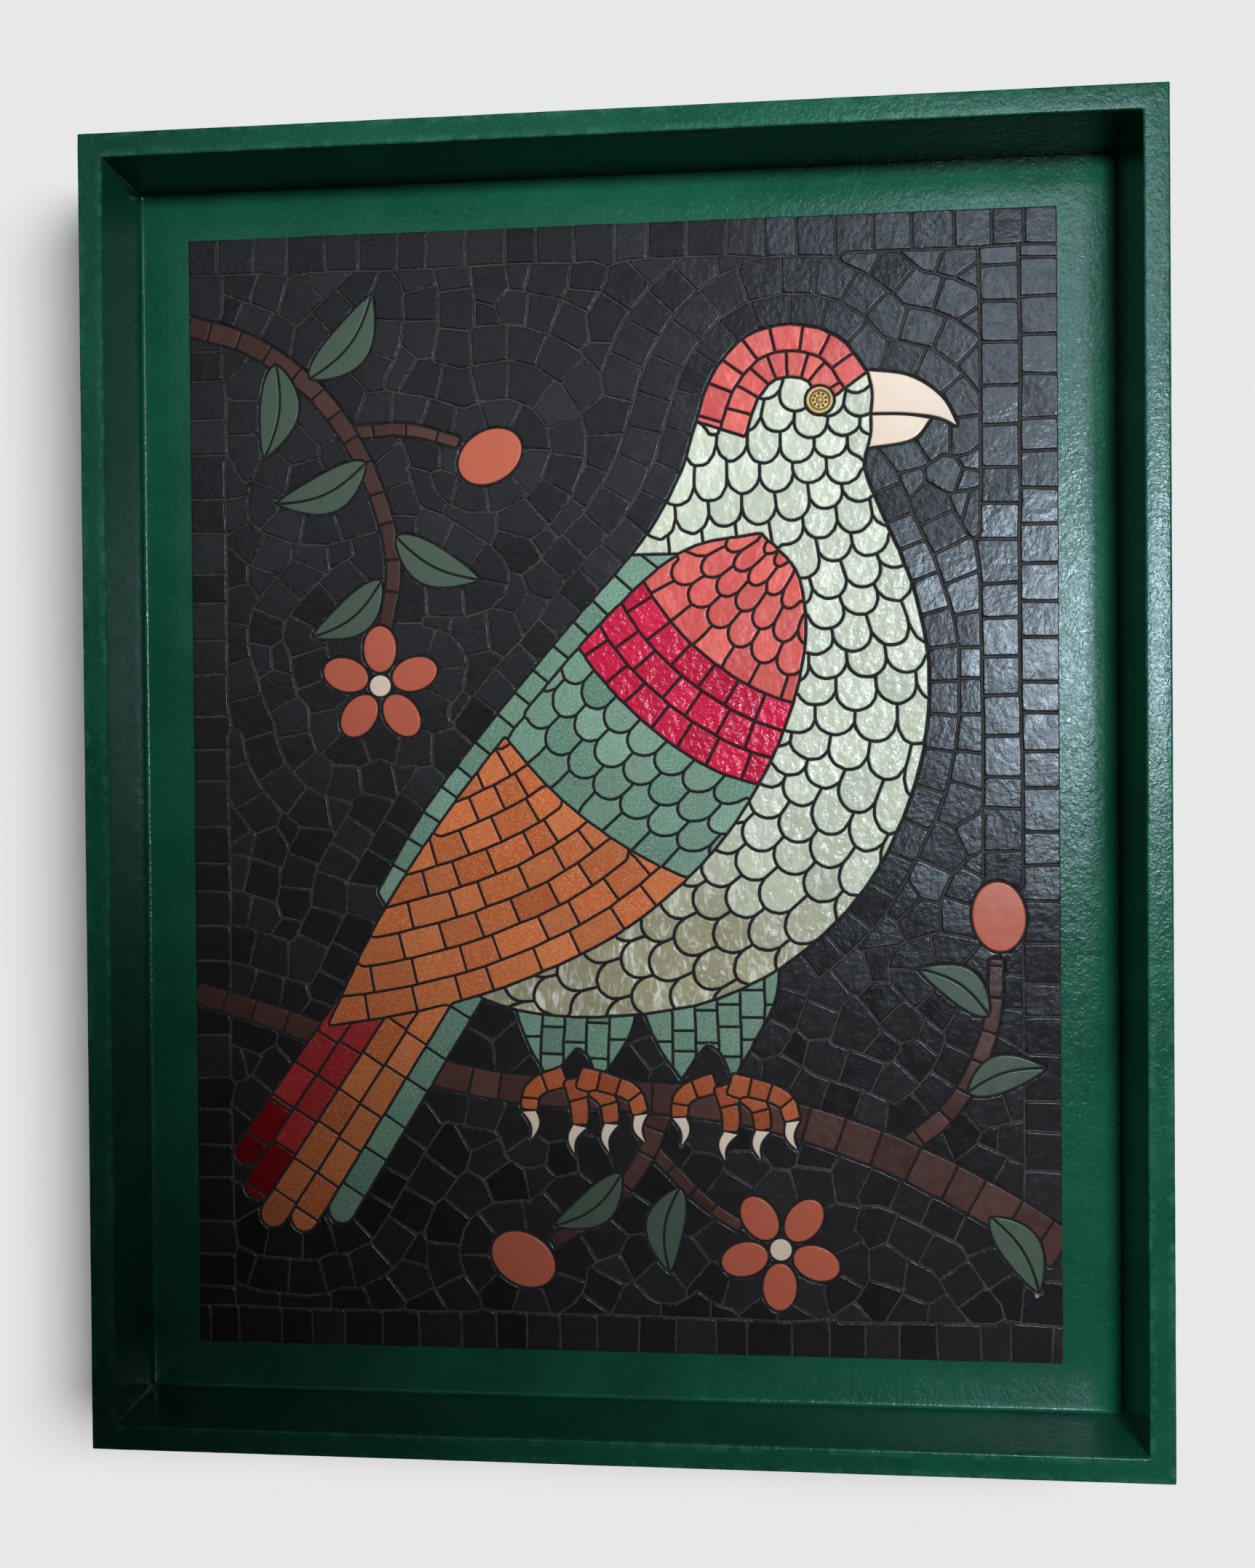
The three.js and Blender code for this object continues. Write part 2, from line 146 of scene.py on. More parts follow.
LEAVES = [((-141,179),-98,40,17,.10),((-127,172),52,44,18,-.12),((-103,137),203,42,17,.12),((-91,106),-28,40,17,-.10),((-97,88),218,38,16,.12),
 ((141,-123),18,33,15,.10),((150,-92),146,34,15,-.12),((1,-158),218,36,15,.12),((25,-163),-97,36,16,-.12),((150,-173),-58,36,16,.10)]
BLOSSOMS = [((-98,44),18),((66,-188),-20)]
BUDS = [((-51,138),10.5,14,-60),((154,-52),10.5,14,5),((-40,-194),10.5,14,60)]
PETALS, PETAL_L, PETAL_W, HEART_R, JOINT = 5, 9.6, 6.8, 4.4, 1.3
def petal(b,i):
    a = b[1]+360/PETALS*i; r = HEART_R+JOINT+PETAL_L
    return ellipse((b[0][0]+r*cos(radians(a)), b[0][1]+r*sin(radians(a))), PETAL_L, PETAL_W, a)


def ccw(p): return p if area2(p) > 0 else p[::-1]
def grow(p, d):
    """Moves a closed outline outwards by d, keeping its number of vertices."""
    p = ccw(np.asarray(p,float)); a, b = np.roll(p,1,0), np.roll(p,-1,0)
    t1 = p-a; t1 /= np.maximum(np.linalg.norm(t1,axis=1),1e-9)[:,None]
    t2 = b-p; t2 /= np.maximum(np.linalg.norm(t2,axis=1),1e-9)[:,None]
    n1 = np.stack([t1[:,1],-t1[:,0]],1); n2 = np.stack([t2[:,1],-t2[:,0]],1)
    return p+(n1+n2)*(d/np.maximum(1+(n1*n2).sum(1),0.4))[:,None]
def single_pieces():
    """The pieces that are nodes of their own: node, group, outline, and the room round it that other tiles leave."""
    s = [('eye_button','eye',ellipse(EYE,EYE_R,EYE_R,0),.45),('beak_upper','cream',grow(BEAK_UP,-.6),.6),('beak_lower','cream',grow(BEAK_LO,-.6),.6)]
    for f in range(2):
        for k in range(4): s.append(('claw_%s_%d'%('right' if f else 'left',k+1),'cream',claw(f,k),.35))
    for i,b in enumerate(BLOSSOMS):
        s.append(('blossom_%d_heart'%(i+1),'cream',ellipse(b[0],HEART_R,HEART_R,0),.45))
        for k in range(PETALS): s.append(('blossom_%d_petal_%d'%(i+1,k+1),'terra',petal(b,k),.45))
    for i,b in enumerate(BUDS): s.append(('bud_%d'%(i+1),'terra',ellipse(*b),.45))
    for i,l in enumerate(LEAVES):
        for h,nm in zip(leaf_halves(*l),('upper','lower')): s.append(('leaf_%d_%s'%(i+1,nm),'leaf',grow(h,-.43),.43))
    return s
SINGLES = single_pieces()

# ---------------------------------------------------------------- raster tools
gx = X0+(np.arange(NX)+0.5)*RES; gz = Z0+(np.arange(NZ)+0.5)*RES
GX, GZ = np.meshgrid(gx, gz)
def fill(poly):
    """Pixels inside a closed outline, by crossings along each row."""
    D = np.zeros((NZ, NX+1), np.int16); p = np.asarray(poly, float); q = np.roll(p,-1,0)
    for (x1,z1),(x2,z2) in zip(p,q):
        if z1 == z2: continue
        if z1 > z2: x1,z1,x2,z2 = x2,z2,x1,z1
        r0 = max(0,int(ceil((z1-Z0)/RES-0.5))); r1 = min(NZ-1,int(ceil((z2-Z0)/RES-0.5))-1)
        if r1 < r0: continue
        rows = np.arange(r0,r1+1); zc = gz[rows]
        xc = x1+(x2-x1)*(zc-z1)/(z2-z1)
        cols = np.clip(np.ceil((xc-X0)/RES-0.5),0,NX).astype(int)
        np.add.at(D,(rows,cols),1)
    return (np.cumsum(D,1)[:,:NX] % 2).astype(bool)
def curve_coords(pts, x, z):
    """Arc length along a curve and signed distance from it (left is positive) for each point."""
    p = np.asarray(pts,float); s0 = 0.0
    best = np.full(x.shape, 1e9); S = np.zeros(x.shape); D = np.zeros(x.shape)
    n = len(p)-1
    for i in range(n):
        a, b = p[i], p[i+1]; L = np.hypot(*(b-a))
        if L == 0: continue
        ux, uz = (b-a)/L
        dx, dz = x-a[0], z-a[1]
        t = dx*ux+dz*uz; tc = np.clip(t, 0 if i else -1e9, L if i<n-1 else 1e9)
        ex, ez = dx-tc*ux, dz-tc*uz
        d2 = ex*ex+ez*ez
        m = d2 < best
        best = np.where(m,d2,best); S = np.where(m,s0+tc,S)
        D = np.where(m, np.sign(ux*dz-uz*dx)*np.sqrt(d2), D)
        s0 += L
    return S, D
def vnoise(x, z, scale, seed):
    """Smooth value noise, -1 to 1."""
    r = np.random.default_rng(seed); T = r.uniform(-1,1,(64,64))
    u, v = x/scale, z/scale; i, j = np.floor(u).astype(int), np.floor(v).astype(int)
    fu, fv = u-i, v-j; fu = fu*fu*(3-2*fu); fv = fv*fv*(3-2*fv)
    g = lambda a,b: T[a%64,b%64]
    return (g(i,j)*(1-fu)+g(i+1,j)*fu)*(1-fv)+(g(i,j+1)*(1-fu)+g(i+1,j+1)*fu)*fv

LAB = np.full((NZ,NX), -1, np.int32)
INFO = []          # per label: (group, node or None)
def put(mask, keys, group, node=None):
    """Gives each distinct key inside mask a label of its own, where nothing lies yet."""
    m = mask & (LAB < 0)
    if not m.any(): return
    k = (np.zeros(m.sum(),np.int64) if keys is None else keys[m].astype(np.int64))
    u, inv = np.unique(k, return_inverse=True)
    LAB[m] = inv+len(INFO)
    INFO.extend([(group,node)]*len(u))
def window(mask):
    r = np.where(mask.any(1))[0]; c = np.where(mask.any(0))[0]
    return slice(r[0],r[-1]+1), slice(c[0],c[-1]+1)
def coords_in(mask, pts):
    w = window(mask); S = np.zeros(mask.shape); D = np.full(mask.shape,1e9)
    S[w], D[w] = curve_coords(pts, GX[w], GZ[w]); return S, D
def bricks(row, s, length, stagger=0.5, jit=0.16, seed=0):
    """Key per brick: rows of bricks of about this length, each row with its own offset and uneven cuts."""
    r = np.random.default_rng(seed); off = r.uniform(0,1,400); cut = r.uniform(-jit,jit,(400,400))
    ri = row.astype(int)%400; u = s/length+ri*stagger+off[ri]*0.25
    k = np.floor(u).astype(int); f = u-k
    k2 = k+(f > 1+cut[ri,(k+1)%400])-(f < cut[ri,k%400])
    return ri*100000+(k2+500)
def scales(row_u, b, ratio, seed=0, ja=.10, jb=.09):
    """Key per scale: rows of pieces with round lower ends, each row half a piece off the last. row_u counts rows downwards and b is the place across, both in rows; ratio is a piece's width."""
    k = np.full(row_u.shape,-1,np.int64); done = np.zeros(row_u.shape,bool)
    lo, hi = int(np.floor(row_u.min()))-2, int(ceil(row_u.max()))+2
    r = np.random.default_rng(seed); jo = r.uniform(-ja,ja,(900,))
    for j in range(lo, hi+1):
        bb = b/ratio+(0.5 if j%2 else 0)+jo[j%900]
        i = np.floor(bb); x = (bb-i-0.5)*ratio          # in rows, from the piece's middle
        jy = r.uniform(-jb,jb,400)[(i.astype(int))%400]
        y = row_u-(j+jy)                                  # below the circle's centre if positive
        h = ratio/2
        cover = (y <= 0) | (x*x+y*y < h*h)
        m = cover & ~done
        k[m] = (j+50)*1000+i[m].astype(np.int64)+500; done |= m
    return k

def build():
    # single pieces, each with a little room round it
    for node, group, poly, room in SINGLES: put(fill(grow(poly,room)),None,group,node)
    # toes
    for f in range(2):
        for k in (0,1,2,3):
            m = fill(band(toe(f,k),8.6,7)); S,D = coords_in(m, spline(toe(f,k)))
            put(m, np.floor(S/(8.2+k*0.3)).astype(int), 'rust')
    # wing: rows of feathers in arcs round a point above the shoulder
    wing = fill(WING)
    S0 = (96,126)
    dx, dz = GX-S0[0], GZ-S0[1]
    r = np.hypot(dx,dz)+vnoise(GX,GZ,34,5)*1.1
    ang = np.arctan2(dz,dx)-radians(226); ang = (ang+pi)%(2*pi)-pi
    mA = wing & (r < 93)
    put(mA, scales((r-93)/12.4+0.42, ang*93/12.4, 1.12, 3),'coral')
    mB = wing & (r < 130)
    rowB = np.floor((r-93)/12.4)
    put(mB, bricks(rowB, ang*(93+12.4*(rowB+.5)), 13.2, .5, .12, 11), 'crimson')
    mC = wing & (r < 176)
    put(mC, scales((r-176)/12.0+0.45, ang*r/12.0, 1.16, 9),'sage')
    Sd,Dd = coords_in(wing, spline(WING_LO,3))
    Dd = np.abs(Dd)+vnoise(GX,GZ,40,6)*0.6
    put(wing, bricks(np.floor(Dd/11.2), Sd, 19.0, .5, .13, 12),'orange')
    # cap
    body = fill(BODY)
    Sc,Dc = coords_in(body, spline(CROWN,2)); Lc = float(np.hypot(*np.diff(spline(CROWN,2),axis=0).T).sum())
    Dc = np.abs(Dc)+vnoise(GX,GZ,25,7)*0.4
    mcap = body & (Dc<21.4) & (Sc>=0) & (Sc<Lc) & (GZ>140)
    rowc = np.floor(Dc/10.7)
    put(mcap, bricks(rowc, Sc, 12.2, .5, .1, 13),'coral')
    # back strip between the nape and the tail
    Sb,Db = coords_in(body, spline(BACK,2))
    up = fill(np.concatenate([spline(WING_UP,2), [(-122,-98)], spline(BACK,2)[::-1], [(34,120),(60,120)]]))
    mback = body & (GZ<96) & (np.abs(Db)<24) & up
    put(mback, bricks(np.zeros_like(Sb), Sb, 12.5, .5,.12,14),'sage')
    # neck, breast and belly
    SP = [(86,176),(80,140),(84,100),(96,55),(94,8),(66,-34),(24,-62),(-30,-78),(-90,-84)]
    Ss,Ds = coords_in(body, spline(SP,3))
    Ss += vnoise(GX,GZ,30,8)*0.9; Ds += vnoise(GX,GZ,30,9)*0.9
    pitch = lambda s: 9.6+2.9*np.clip(s/150,0,1)
    st = np.linspace(-60,520,1200); U = np.concatenate([[0],np.cumsum(np.diff(st)/pitch(st[:-1]))])
    ru = np.interp(Ss, st, U); bb = Ds/pitch(Ss)
    put(body, scales(ru,bb,1.27,21,.15,.15),'pale')
    # thighs
    for n,t in enumerate(THIGHS):
        m = fill(t); ax = [(36,-60),(36,-125)] if n==0 else [(-17,-70),(-18,-125)]
        S,D = coords_in(m, ax)
        D += vnoise(GX,GZ,22,31)*0.8
        put(m, bricks(np.floor((D+60)/9.3), S*(1+0*D), 11.5, .5,.15,32+n),'sage')
    # tail
    for i in (2,1,3,0,4):
        dxt, dzt = GX-TAIL_ROOT[0], GZ-TAIL_ROOT[1]
        t = dxt*TD[0]+dzt*TD[1]; wd = 9.6+2.2*t/150; o = dxt*TN[0]+dzt*TN[1]-(i-2)*wd
        L = TAIL_LEN[i]; e = wd/2
        m = (np.abs(o)<wd/2)&(t>20)&((t<L-e)|(np.hypot(t-(L-e),o)<e))
        g = ['red','red','orange','orange','sage'][i]
        rows = np.full(t.shape, i)
        k = bricks(rows, L-t, 17.5, .5, .1, 40)
        tip = (L-t) < (30 if i==0 else 26)
        if i in (0,1):
            put(m & tip, k, 'darkred')
        put(m, k, g)
    # branch and twigs
    for n,(c,w0,w1) in enumerate(BRANCHES):
        m = fill(band(c,w0,w1)); S,D = coords_in(m, spline(c))
        put(m, bricks(np.zeros_like(S), S, 15.5 if n==0 else 13.0, .5, .18, 50+n),'brown')

def distance(mask, step=2):
    """Distance in mm from each pixel to the mask, on a coarser grid, blown up again."""
    m = mask[::step,::step]; h = RES*step
    big = 1e4
    g = np.where(m,0.0,big)
    for i in range(1,g.shape[0]): g[i] = np.minimum(g[i], g[i-1]+1)
    for i in range(g.shape[0]-2,-1,-1): g[i] = np.minimum(g[i], g[i+1]+1)
    g2 = g*g; out = g2.copy(); W = g.shape[1]
    for k in range(1,int(120/h)):
        out[:,k:] = np.minimum(out[:,k:], g2[:,:-k]+k*k)
        out[:,:-k] = np.minimum(out[:,:-k], g2[:,k:]+k*k)
    d = np.sqrt(out)*h
    # bilinear blow-up
    zi = np.clip(np.arange(NZ)/step,0,d.shape[0]-1.001); xi = np.clip(np.arange(NX)/step,0,d.shape[1]-1.001)
    z0 = zi.astype(int); x0 = xi.astype(int); fz = (zi-z0)[:,None]; fx = (xi-x0)[None]
    return (d[z0][:,x0]*(1-fz)*(1-fx)+d[z0+1][:,x0]*fz*(1-fx)+d[z0][:,x0+1]*(1-fz)*fx+d[z0+1][:,x0+1]*fz*fx)

def chain_seeds(pts, L, r):
    """Seeds about L apart along a scattered line of points."""
    left = np.ones(len(pts),bool); seeds = []
    cur = None
    while left.any():
        idx = np.where(left)[0]
        if cur is None: j = idx[int(r.integers(len(idx)))]
        else:
            d = np.hypot(*(pts[idx]-cur).T)
            j = idx[np.argmin(d)]
            if d.min() > 1.8*L: pass
        cur = pts[j]; seeds.append(cur)
        Lj = L*r.uniform(.80,1.14)
        left &= np.hypot(*(pts-cur).T) >= Lj
    return np.array(seeds)

def ground():
    free = LAB < 0
    db = np.minimum(np.minimum(GX-X0, X0+MW-GX), np.minimum(GZ-Z0, Z0+MH-GZ))
    r = np.random.default_rng(77)
    # rows along the border: one all round, a second on the right
    wob = vnoise(GX,GZ,42,60)*1.1
    ez = np.minimum(GZ-Z0, Z0+MH-GZ)+wob*.6
    side = np.where(ez < 15.2, np.where(GZ < 0, 1, 3), np.where(GX < 0, 2, 0))
    along = np.where(side%2==0, GZ, GX)
    m = free & (db+wob*.6 < 15.2)
    put(m, bricks(side.astype(float), along+vnoise(GX,GZ,12,61)*.6, 15.2, .3, .16, 62),'ground')
    m = free & (LAB<0) & (X0+MW-GX+wob < 30.5) & (GZ > -60)
    put(m, bricks(side*0+7., GZ+vnoise(GX,GZ,12,63)*.6, 15.6, .5, .16, 64),'ground')
    d = distance(~free)+vnoise(GX,GZ,30,65)*1.0+vnoise(GX,GZ,11,66)*.35
    free = LAB < 0
    edges = [-9, 12.6]
    while edges[-1] < 140: edges.append(edges[-1]+14.6)
    pts_all = []
    for k in range(len(edges)-1):
        lo, hi = edges[k], edges[k+1]
        m = free & (d >= lo) & (d < hi)
        if m.sum() < 60: continue
        mid = (max(lo,0)+hi)/2
        c = m & (np.abs(d-mid) < 0.45)
        zz, xx = np.where(c)
        if len(zz) == 0:
            zz, xx = np.where(m)
        pts = np.stack([gx[xx], gz[zz]],1)
        if len(pts) > 9000: pts = pts[r.permutation(len(pts))[:9000]]
        seeds = chain_seeds(pts, 14.6, r)
        zz, xx = np.where(m)
        P = np.stack([gx[xx], gz[zz]],1)
        Q = P[::7]; far = np.full(len(Q),1e9)
        for s in seeds: far = np.minimum(far,(Q[:,0]-s[0])**2+(Q[:,1]-s[1])**2)
        more = []
        while far.max() > 12.6**2:
            s = Q[int(np.argmax(far))]; near = Q[(Q[:,0]-s[0])**2+(Q[:,1]-s[1])**2 < 7.0**2]; s = s*.3+near.mean(0)*.7
            more.append(s); far = np.minimum(far,(Q[:,0]-s[0])**2+(Q[:,1]-s[1])**2); far[(Q[:,0]-s[0])**2+(Q[:,1]-s[1])**2 < 8.0**2] = 0
        if more: seeds = np.concatenate([seeds,more])
        P = P + np.stack([vnoise(P[:,0],P[:,1],16,67+k), vnoise(P[:,0],P[:,1],16,97+k)],1)*.7
        best = np.full(len(P),1e9); lab = np.zeros(len(P),np.int64)
        for i,s in enumerate(seeds):
            dd = (P[:,0]-s[0])**2+(P[:,1]-s[1])**2
            q = dd < best; best[q] = dd[q]; lab[q] = i
        K = np.zeros(LAB.shape,np.int64); K[zz,xx] = lab
        put(m, K, 'ground')

# ---------------------------------------------------------------- cells to outlines
GROUP_GAP = {'ground':0.80,'pale':1.25,'coral':1.15,'crimson':1.15,'sage':1.1,'orange':1.05,'red':1.05,'darkred':1.05,'rust':0.9,'brown':0.85,'terra':0.9,'leaf':0.9,'cream':1.0,'eye':0.5}
def loops_of(L):
    """Boundary loops of every cell: label -> list of node lists, the cell on the left, and what lies on the right of each step."""
    P = np.full((NZ+2,NX+2),-2,np.int32); P[1:-1,1:-1] = L
    W = NX+1
    out = {}
    # vertical cracks between columns: left pixel a, right pixel b
    a, b = P[1:-1,:-1], P[1:-1,1:]
    r, c = np.where(a != b)
    # going up (row increases) has the left pixel on its left
    st = r*W+c; en = (r+1)*W+c
    E = [np.stack([a[r,c], st, en, b[r,c]],1), np.stack([b[r,c], en, st, a[r,c]],1)]
    a, b = P[:-1,1:-1], P[1:,1:-1]       # lower pixel a, upper pixel b
    r, c = np.where(a != b)
    st = r*W+c; en = r*W+c+1            # going right has the upper pixel on its left
    E += [np.stack([b[r,c], st, en, a[r,c]],1), np.stack([a[r,c], en, st, b[r,c]],1)]
    E = np.concatenate(E); E = E[E[:,0] >= 0]
    E = E[np.argsort(E[:,0],kind='stable')]
    cuts = np.flatnonzero(np.diff(E[:,0]))+1
    for part in np.split(E, cuts):
        lab = int(part[0,0]); nxt = {}
        for _, s0, e0, o in part.tolist(): nxt.setdefault(s0,[]).append((e0,o))
        res = []
        while nxt:
            s0 = next(iter(nxt)); cur = s0; path = []; prev = None
            while True:
                opts = nxt[cur]
                if len(opts) > 1 and prev is not None:
                    d = cur-prev
                    left = {1:W, W:-1, -1:-W, -W:1}[d]
                    j = next((i for i,o in enumerate(opts) if o[0]-cur == left),0)
                else: j = 0
                e0, o = opts.pop(j)
                if not opts: del nxt[cur]
                path.append((cur,o)); prev, cur = cur, e0
                if cur == s0: break
            res.append(path)
        out[lab] = res
    return out
def node_xy(n):
    n = np.asarray(n); W = NX+1
    return np.stack([X0+(n%W)*RES, Z0+(n//W)*RES],-1)
def tidy(L, info):
    """Parts each label into whole cells, and gives slivers and crumbs to a neighbour."""
    W = NX+1
    for _ in range(2):
        lo = loops_of(L)
        crumbs = []
        for lab, paths in lo.items():
            outer = []
            for p in paths:
                q = node_xy([n for n,_ in p]); A = area2(q)
                if A > 0: outer.append((A,p,q))
            outer.sort(key=lambda t:-t[0])
            for i,(A,p,q) in enumerate(outer):
                g = info[lab][0]
                per = len(p)*RES*0.8
                single = info[lab][1] is not None
                small = (A < (50 if g=='ground' else 13) or 2*A/per < (2.9 if g=='ground' else 1.6)) and (not single or i>0)
                if i == 0 and not small: continue
                # flood fill this part
                n0, n1 = p[0][0], p[1][0]; r, c = n0//W, n0%W
                d = n1-n0
                seed = {1:(r,c), W:(r,c-1), -1:(r-1,c-1), -W:(r-1,c)}[d]
                stack = [seed]; seen = {seed}
                while stack:
                    y,x = stack.pop()
                    for yy,xx in ((y+1,x),(y-1,x),(y,x+1),(y,x-1)):
                        if 0<=yy<NZ and 0<=xx<NX and (yy,xx) not in seen and L[yy,xx]==lab:
                            seen.add((yy,xx)); stack.append((yy,xx))
                px = np.array(list(seen))
                if small: crumbs.append((px,g))
                else:
                    L[px[:,0],px[:,1]] = len(info); info.append((info[lab][0],None))
        groups = np.array([g for g,_ in info]+['none'])
        single = np.array([n is not None for _,n in info]+[True])
        for px,g in crumbs: L[px[:,0],px[:,1]] = -1
        todo = L < 0
        want = np.full(L.shape,'',dtype=groups.dtype)
        for px,g in crumbs: want[px[:,0],px[:,1]] = g
        for it in range(80):
            if not todo.any(): break
            changed = False
            zz,xx = np.where(todo)
            for dz_,dx_ in ((0,1),(1,0),(0,-1),(-1,0)):
                y = np.clip(zz+dz_,0,NZ-1); x = np.clip(xx+dx_,0,NX-1)
                v = L[y,x]
                ok = (v>=0)&((groups[v]==want[zz,xx])&~single[v] | (it>45)&~single[v] | (it>70))
                if ok.any():
                    L[zz[ok],xx[ok]] = v[ok]; changed = True
                    zz,xx = zz[~ok],xx[~ok]
            todo = L < 0
    return L, info
def dp(p, tol):
    if len(p) < 3: return p
    keep = np.zeros(len(p),bool); keep[0]=keep[-1]=True; st=[(0,len(p)-1)]
    while st:
        a,b = st.pop()
        if b-a < 2: continue
        ab = p[b]-p[a]; l = np.hypot(*ab); q = p[a+1:b]-p[a]
        d = np.abs(ab[0]*q[:,1]-ab[1]*q[:,0])/l if l > 1e-9 else np.hypot(q[:,0],q[:,1])
        i = int(np.argmax(d))
        if d[i] > tol: keep[a+1+i]=True; st += [(a,a+1+i),(a+1+i,b)]
    return p[keep]
def smooth(p, w=3, n=2):
    p = p.copy()
    for _ in range(n):
        q = p.copy()
        for k in range(1,w+1):
            pass
        a = np.pad(p,((w,w),(0,0)),mode='reflect',reflect_type='odd')
        q = sum(a[i:i+len(p)] for i in range(2*w+1))/(2*w+1)
        q[0],q[-1] = p[0],p[-1]
        p = q
    return p
def outlines():
    global LAB, INFO
    LAB, INFO = tidy(LAB, INFO)
    lo = loops_of(LAB)
    P = np.full((NZ+2,NX+2),-2,np.int32); P[1:-1,1:-1] = LAB
    q = np.sort(np.stack([P[:-1,:-1],P[1:,:-1],P[:-1,1:],P[1:,1:]],-1),-1)
    J = ((q[...,1:]!=q[...,:-1]).sum(-1) >= 2).ravel()
    W = NX+1
    for n in (0, NX, NZ*W, NZ*W+NX): J[n] = True
    cache = {}
    def chain(nodes, g1, g2):
        rev = nodes[0] > nodes[-1] or (nodes[0]==nodes[-1] and nodes[1] > nodes[-2])
        nn = nodes[::-1] if rev else nodes
        key = (nn[0],nn[-1],len(nn),nn[len(nn)//2])
        if key not in cache:
            p = node_xy(nn)
            if 'edge' in (g1,g2): r = p[[0,-1]]
            else:
                straight = g1==g2 and g1 in ('ground','orange','crimson','brown','red','darkred','sage','rust')
                ab = p[-1]-p[0]; l = np.hypot(*ab)
                dev = np.abs(ab[0]*(p[:,1]-p[0,1])-ab[1]*(p[:,0]-p[0,0])).max()/l if l>1e-6 else 9
                if straight and dev < (1.0 if g1=='ground' else .45): r = p[[0,-1]]
                else: r = dp(smooth(p,3 if len(p)>14 else 2), .5 if (g1==g2=='ground') else .13)
            cache[key] = r
        r = cache[key]
        return r[::-1] if rev else r
    cells = []
    for lab, paths in lo.items():
        g = INFO[lab][0]
        for p in paths:
            nodes = [n for n,_ in p]; oth = [o for _,o in p]
            if area2(node_xy(nodes)) <= 0: continue
            gn = lambda o: 'edge' if o < 0 else INFO[o][0]
            js = [i for i,n in enumerate(nodes) if J[n]]
            if not js:
                q = node_xy(nodes); q = np.concatenate([q[-6:],q,q[:6]]); poly = dp(smooth(q,3)[6:-6],.13)
            else:
                poly = []
                for a,b in zip(js, js[1:]+[js[0]+len(nodes)]):
                    idx = [i%len(nodes) for i in range(a,b+1)]
                    ch = chain([nodes[i] for i in idx], g, gn(oth[a]))
                    poly.append(ch[:-1])
                poly = np.concatenate(poly)
            cells.append((lab,g,INFO[lab][1],poly))
    return cells
def clean(p, tol=.22):
    """Drops vertices that nearly coincide or lie on a line."""
    p = [tuple(v) for v in p]; i = 0
    while i < len(p) and len(p) > 3:
        a,b,c = np.array(p[i-1]),np.array(p[i]),np.array(p[(i+1)%len(p)])
        if np.hypot(*(b-a)) < tol or abs((b-a)[0]*(c-b)[1]-(b-a)[1]*(c-b)[0]) < 0.004*np.hypot(*(c-a)):
            p.pop(i)
        else: i += 1
    return np.array(p)
def inset(p, d):
    """Moves a counter-clockwise outline inwards by d, dropping the edges that vanish."""
    e = [(p[i], p[(i+1)%len(p)]) for i in range(len(p))]
    lines = []
    for a,b in e:
        t = (b-a)/np.hypot(*(b-a)); n = np.array((-t[1],t[0])); lines.append([t,n,float(n@a)+d,a,b])
    while len(lines) >= 3:
        n = len(lines); v = []
        for i in range(n):
            t1,n1,c1,_,b1 = lines[i-1]; t2,n2,c2,a2,_ = lines[i]
            det = n1[0]*n2[1]-n1[1]*n2[0]
            if abs(det) < 0.05: m = (b1+a2)/2; x = m+n2*(c2-n2@m) if n1@n2>0 else m+n2*(c2-n2@m)
            else: x = np.array(((c1*n2[1]-c2*n1[1])/det, (n1[0]*c2-n2[0]*c1)/det))
            v.append(x)
        worst, wi = 0.02, -1
        for i in range(n):
            l = (v[(i+1)%n]-v[i])@lines[i][0]
            if l < worst: worst, wi = l, i
        if wi < 0: return np.array(v)
        lines.pop(wi)
    return None

# ================================================================ sizes taken from the frame
board_lo, board_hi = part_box("backing_board")
rail_lo, rail_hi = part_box("frame_rail_left")
BX, BZ = (bed_lo[0]+bed_hi[0])/2/MM, (bed_lo[2]+bed_hi[2])/2/MM
BOARD_Y = board_lo[1]/MM                                             # front of the board (negative)
TILE_H = BOARD_Y-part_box("bud_1")[0][1]/MM                            # top of the glass over the board
GROUT_H = TILE_H-0.60                                                # grout in the joints
OUT_W, OUT_H = (CAD_BOX[1][0]-CAD_BOX[0][0])/MM, (CAD_BOX[1][2]-CAD_BOX[0][2])/MM
DEPTH = -CAD_BOX[0][1]/MM
RAIL = (rail_hi[0]-rail_lo[0])/MM
IN_W, IN_H = OUT_W-2*RAIL, OUT_H-2*RAIL
BOARD_T = -BOARD_Y

def noise3(P, scale, seed):
    """Smooth value noise in space, -1 to 1."""
    T = np.random.default_rng(seed).uniform(-1,1,(32,32,32))
    U = np.asarray(P,float)/scale; I = np.floor(U).astype(int); F = U-I; F = F*F*(3-2*F)
    out = 0
    for a in (0,1):
        for b in (0,1):
            for c in (0,1):
                w = (F[:,0] if a else 1-F[:,0])*(F[:,1] if b else 1-F[:,1])*(F[:,2] if c else 1-F[:,2])
                out = out+w*T[(I[:,0]+a)%32,(I[:,1]+b)%32,(I[:,2]+c)%32]
    return out

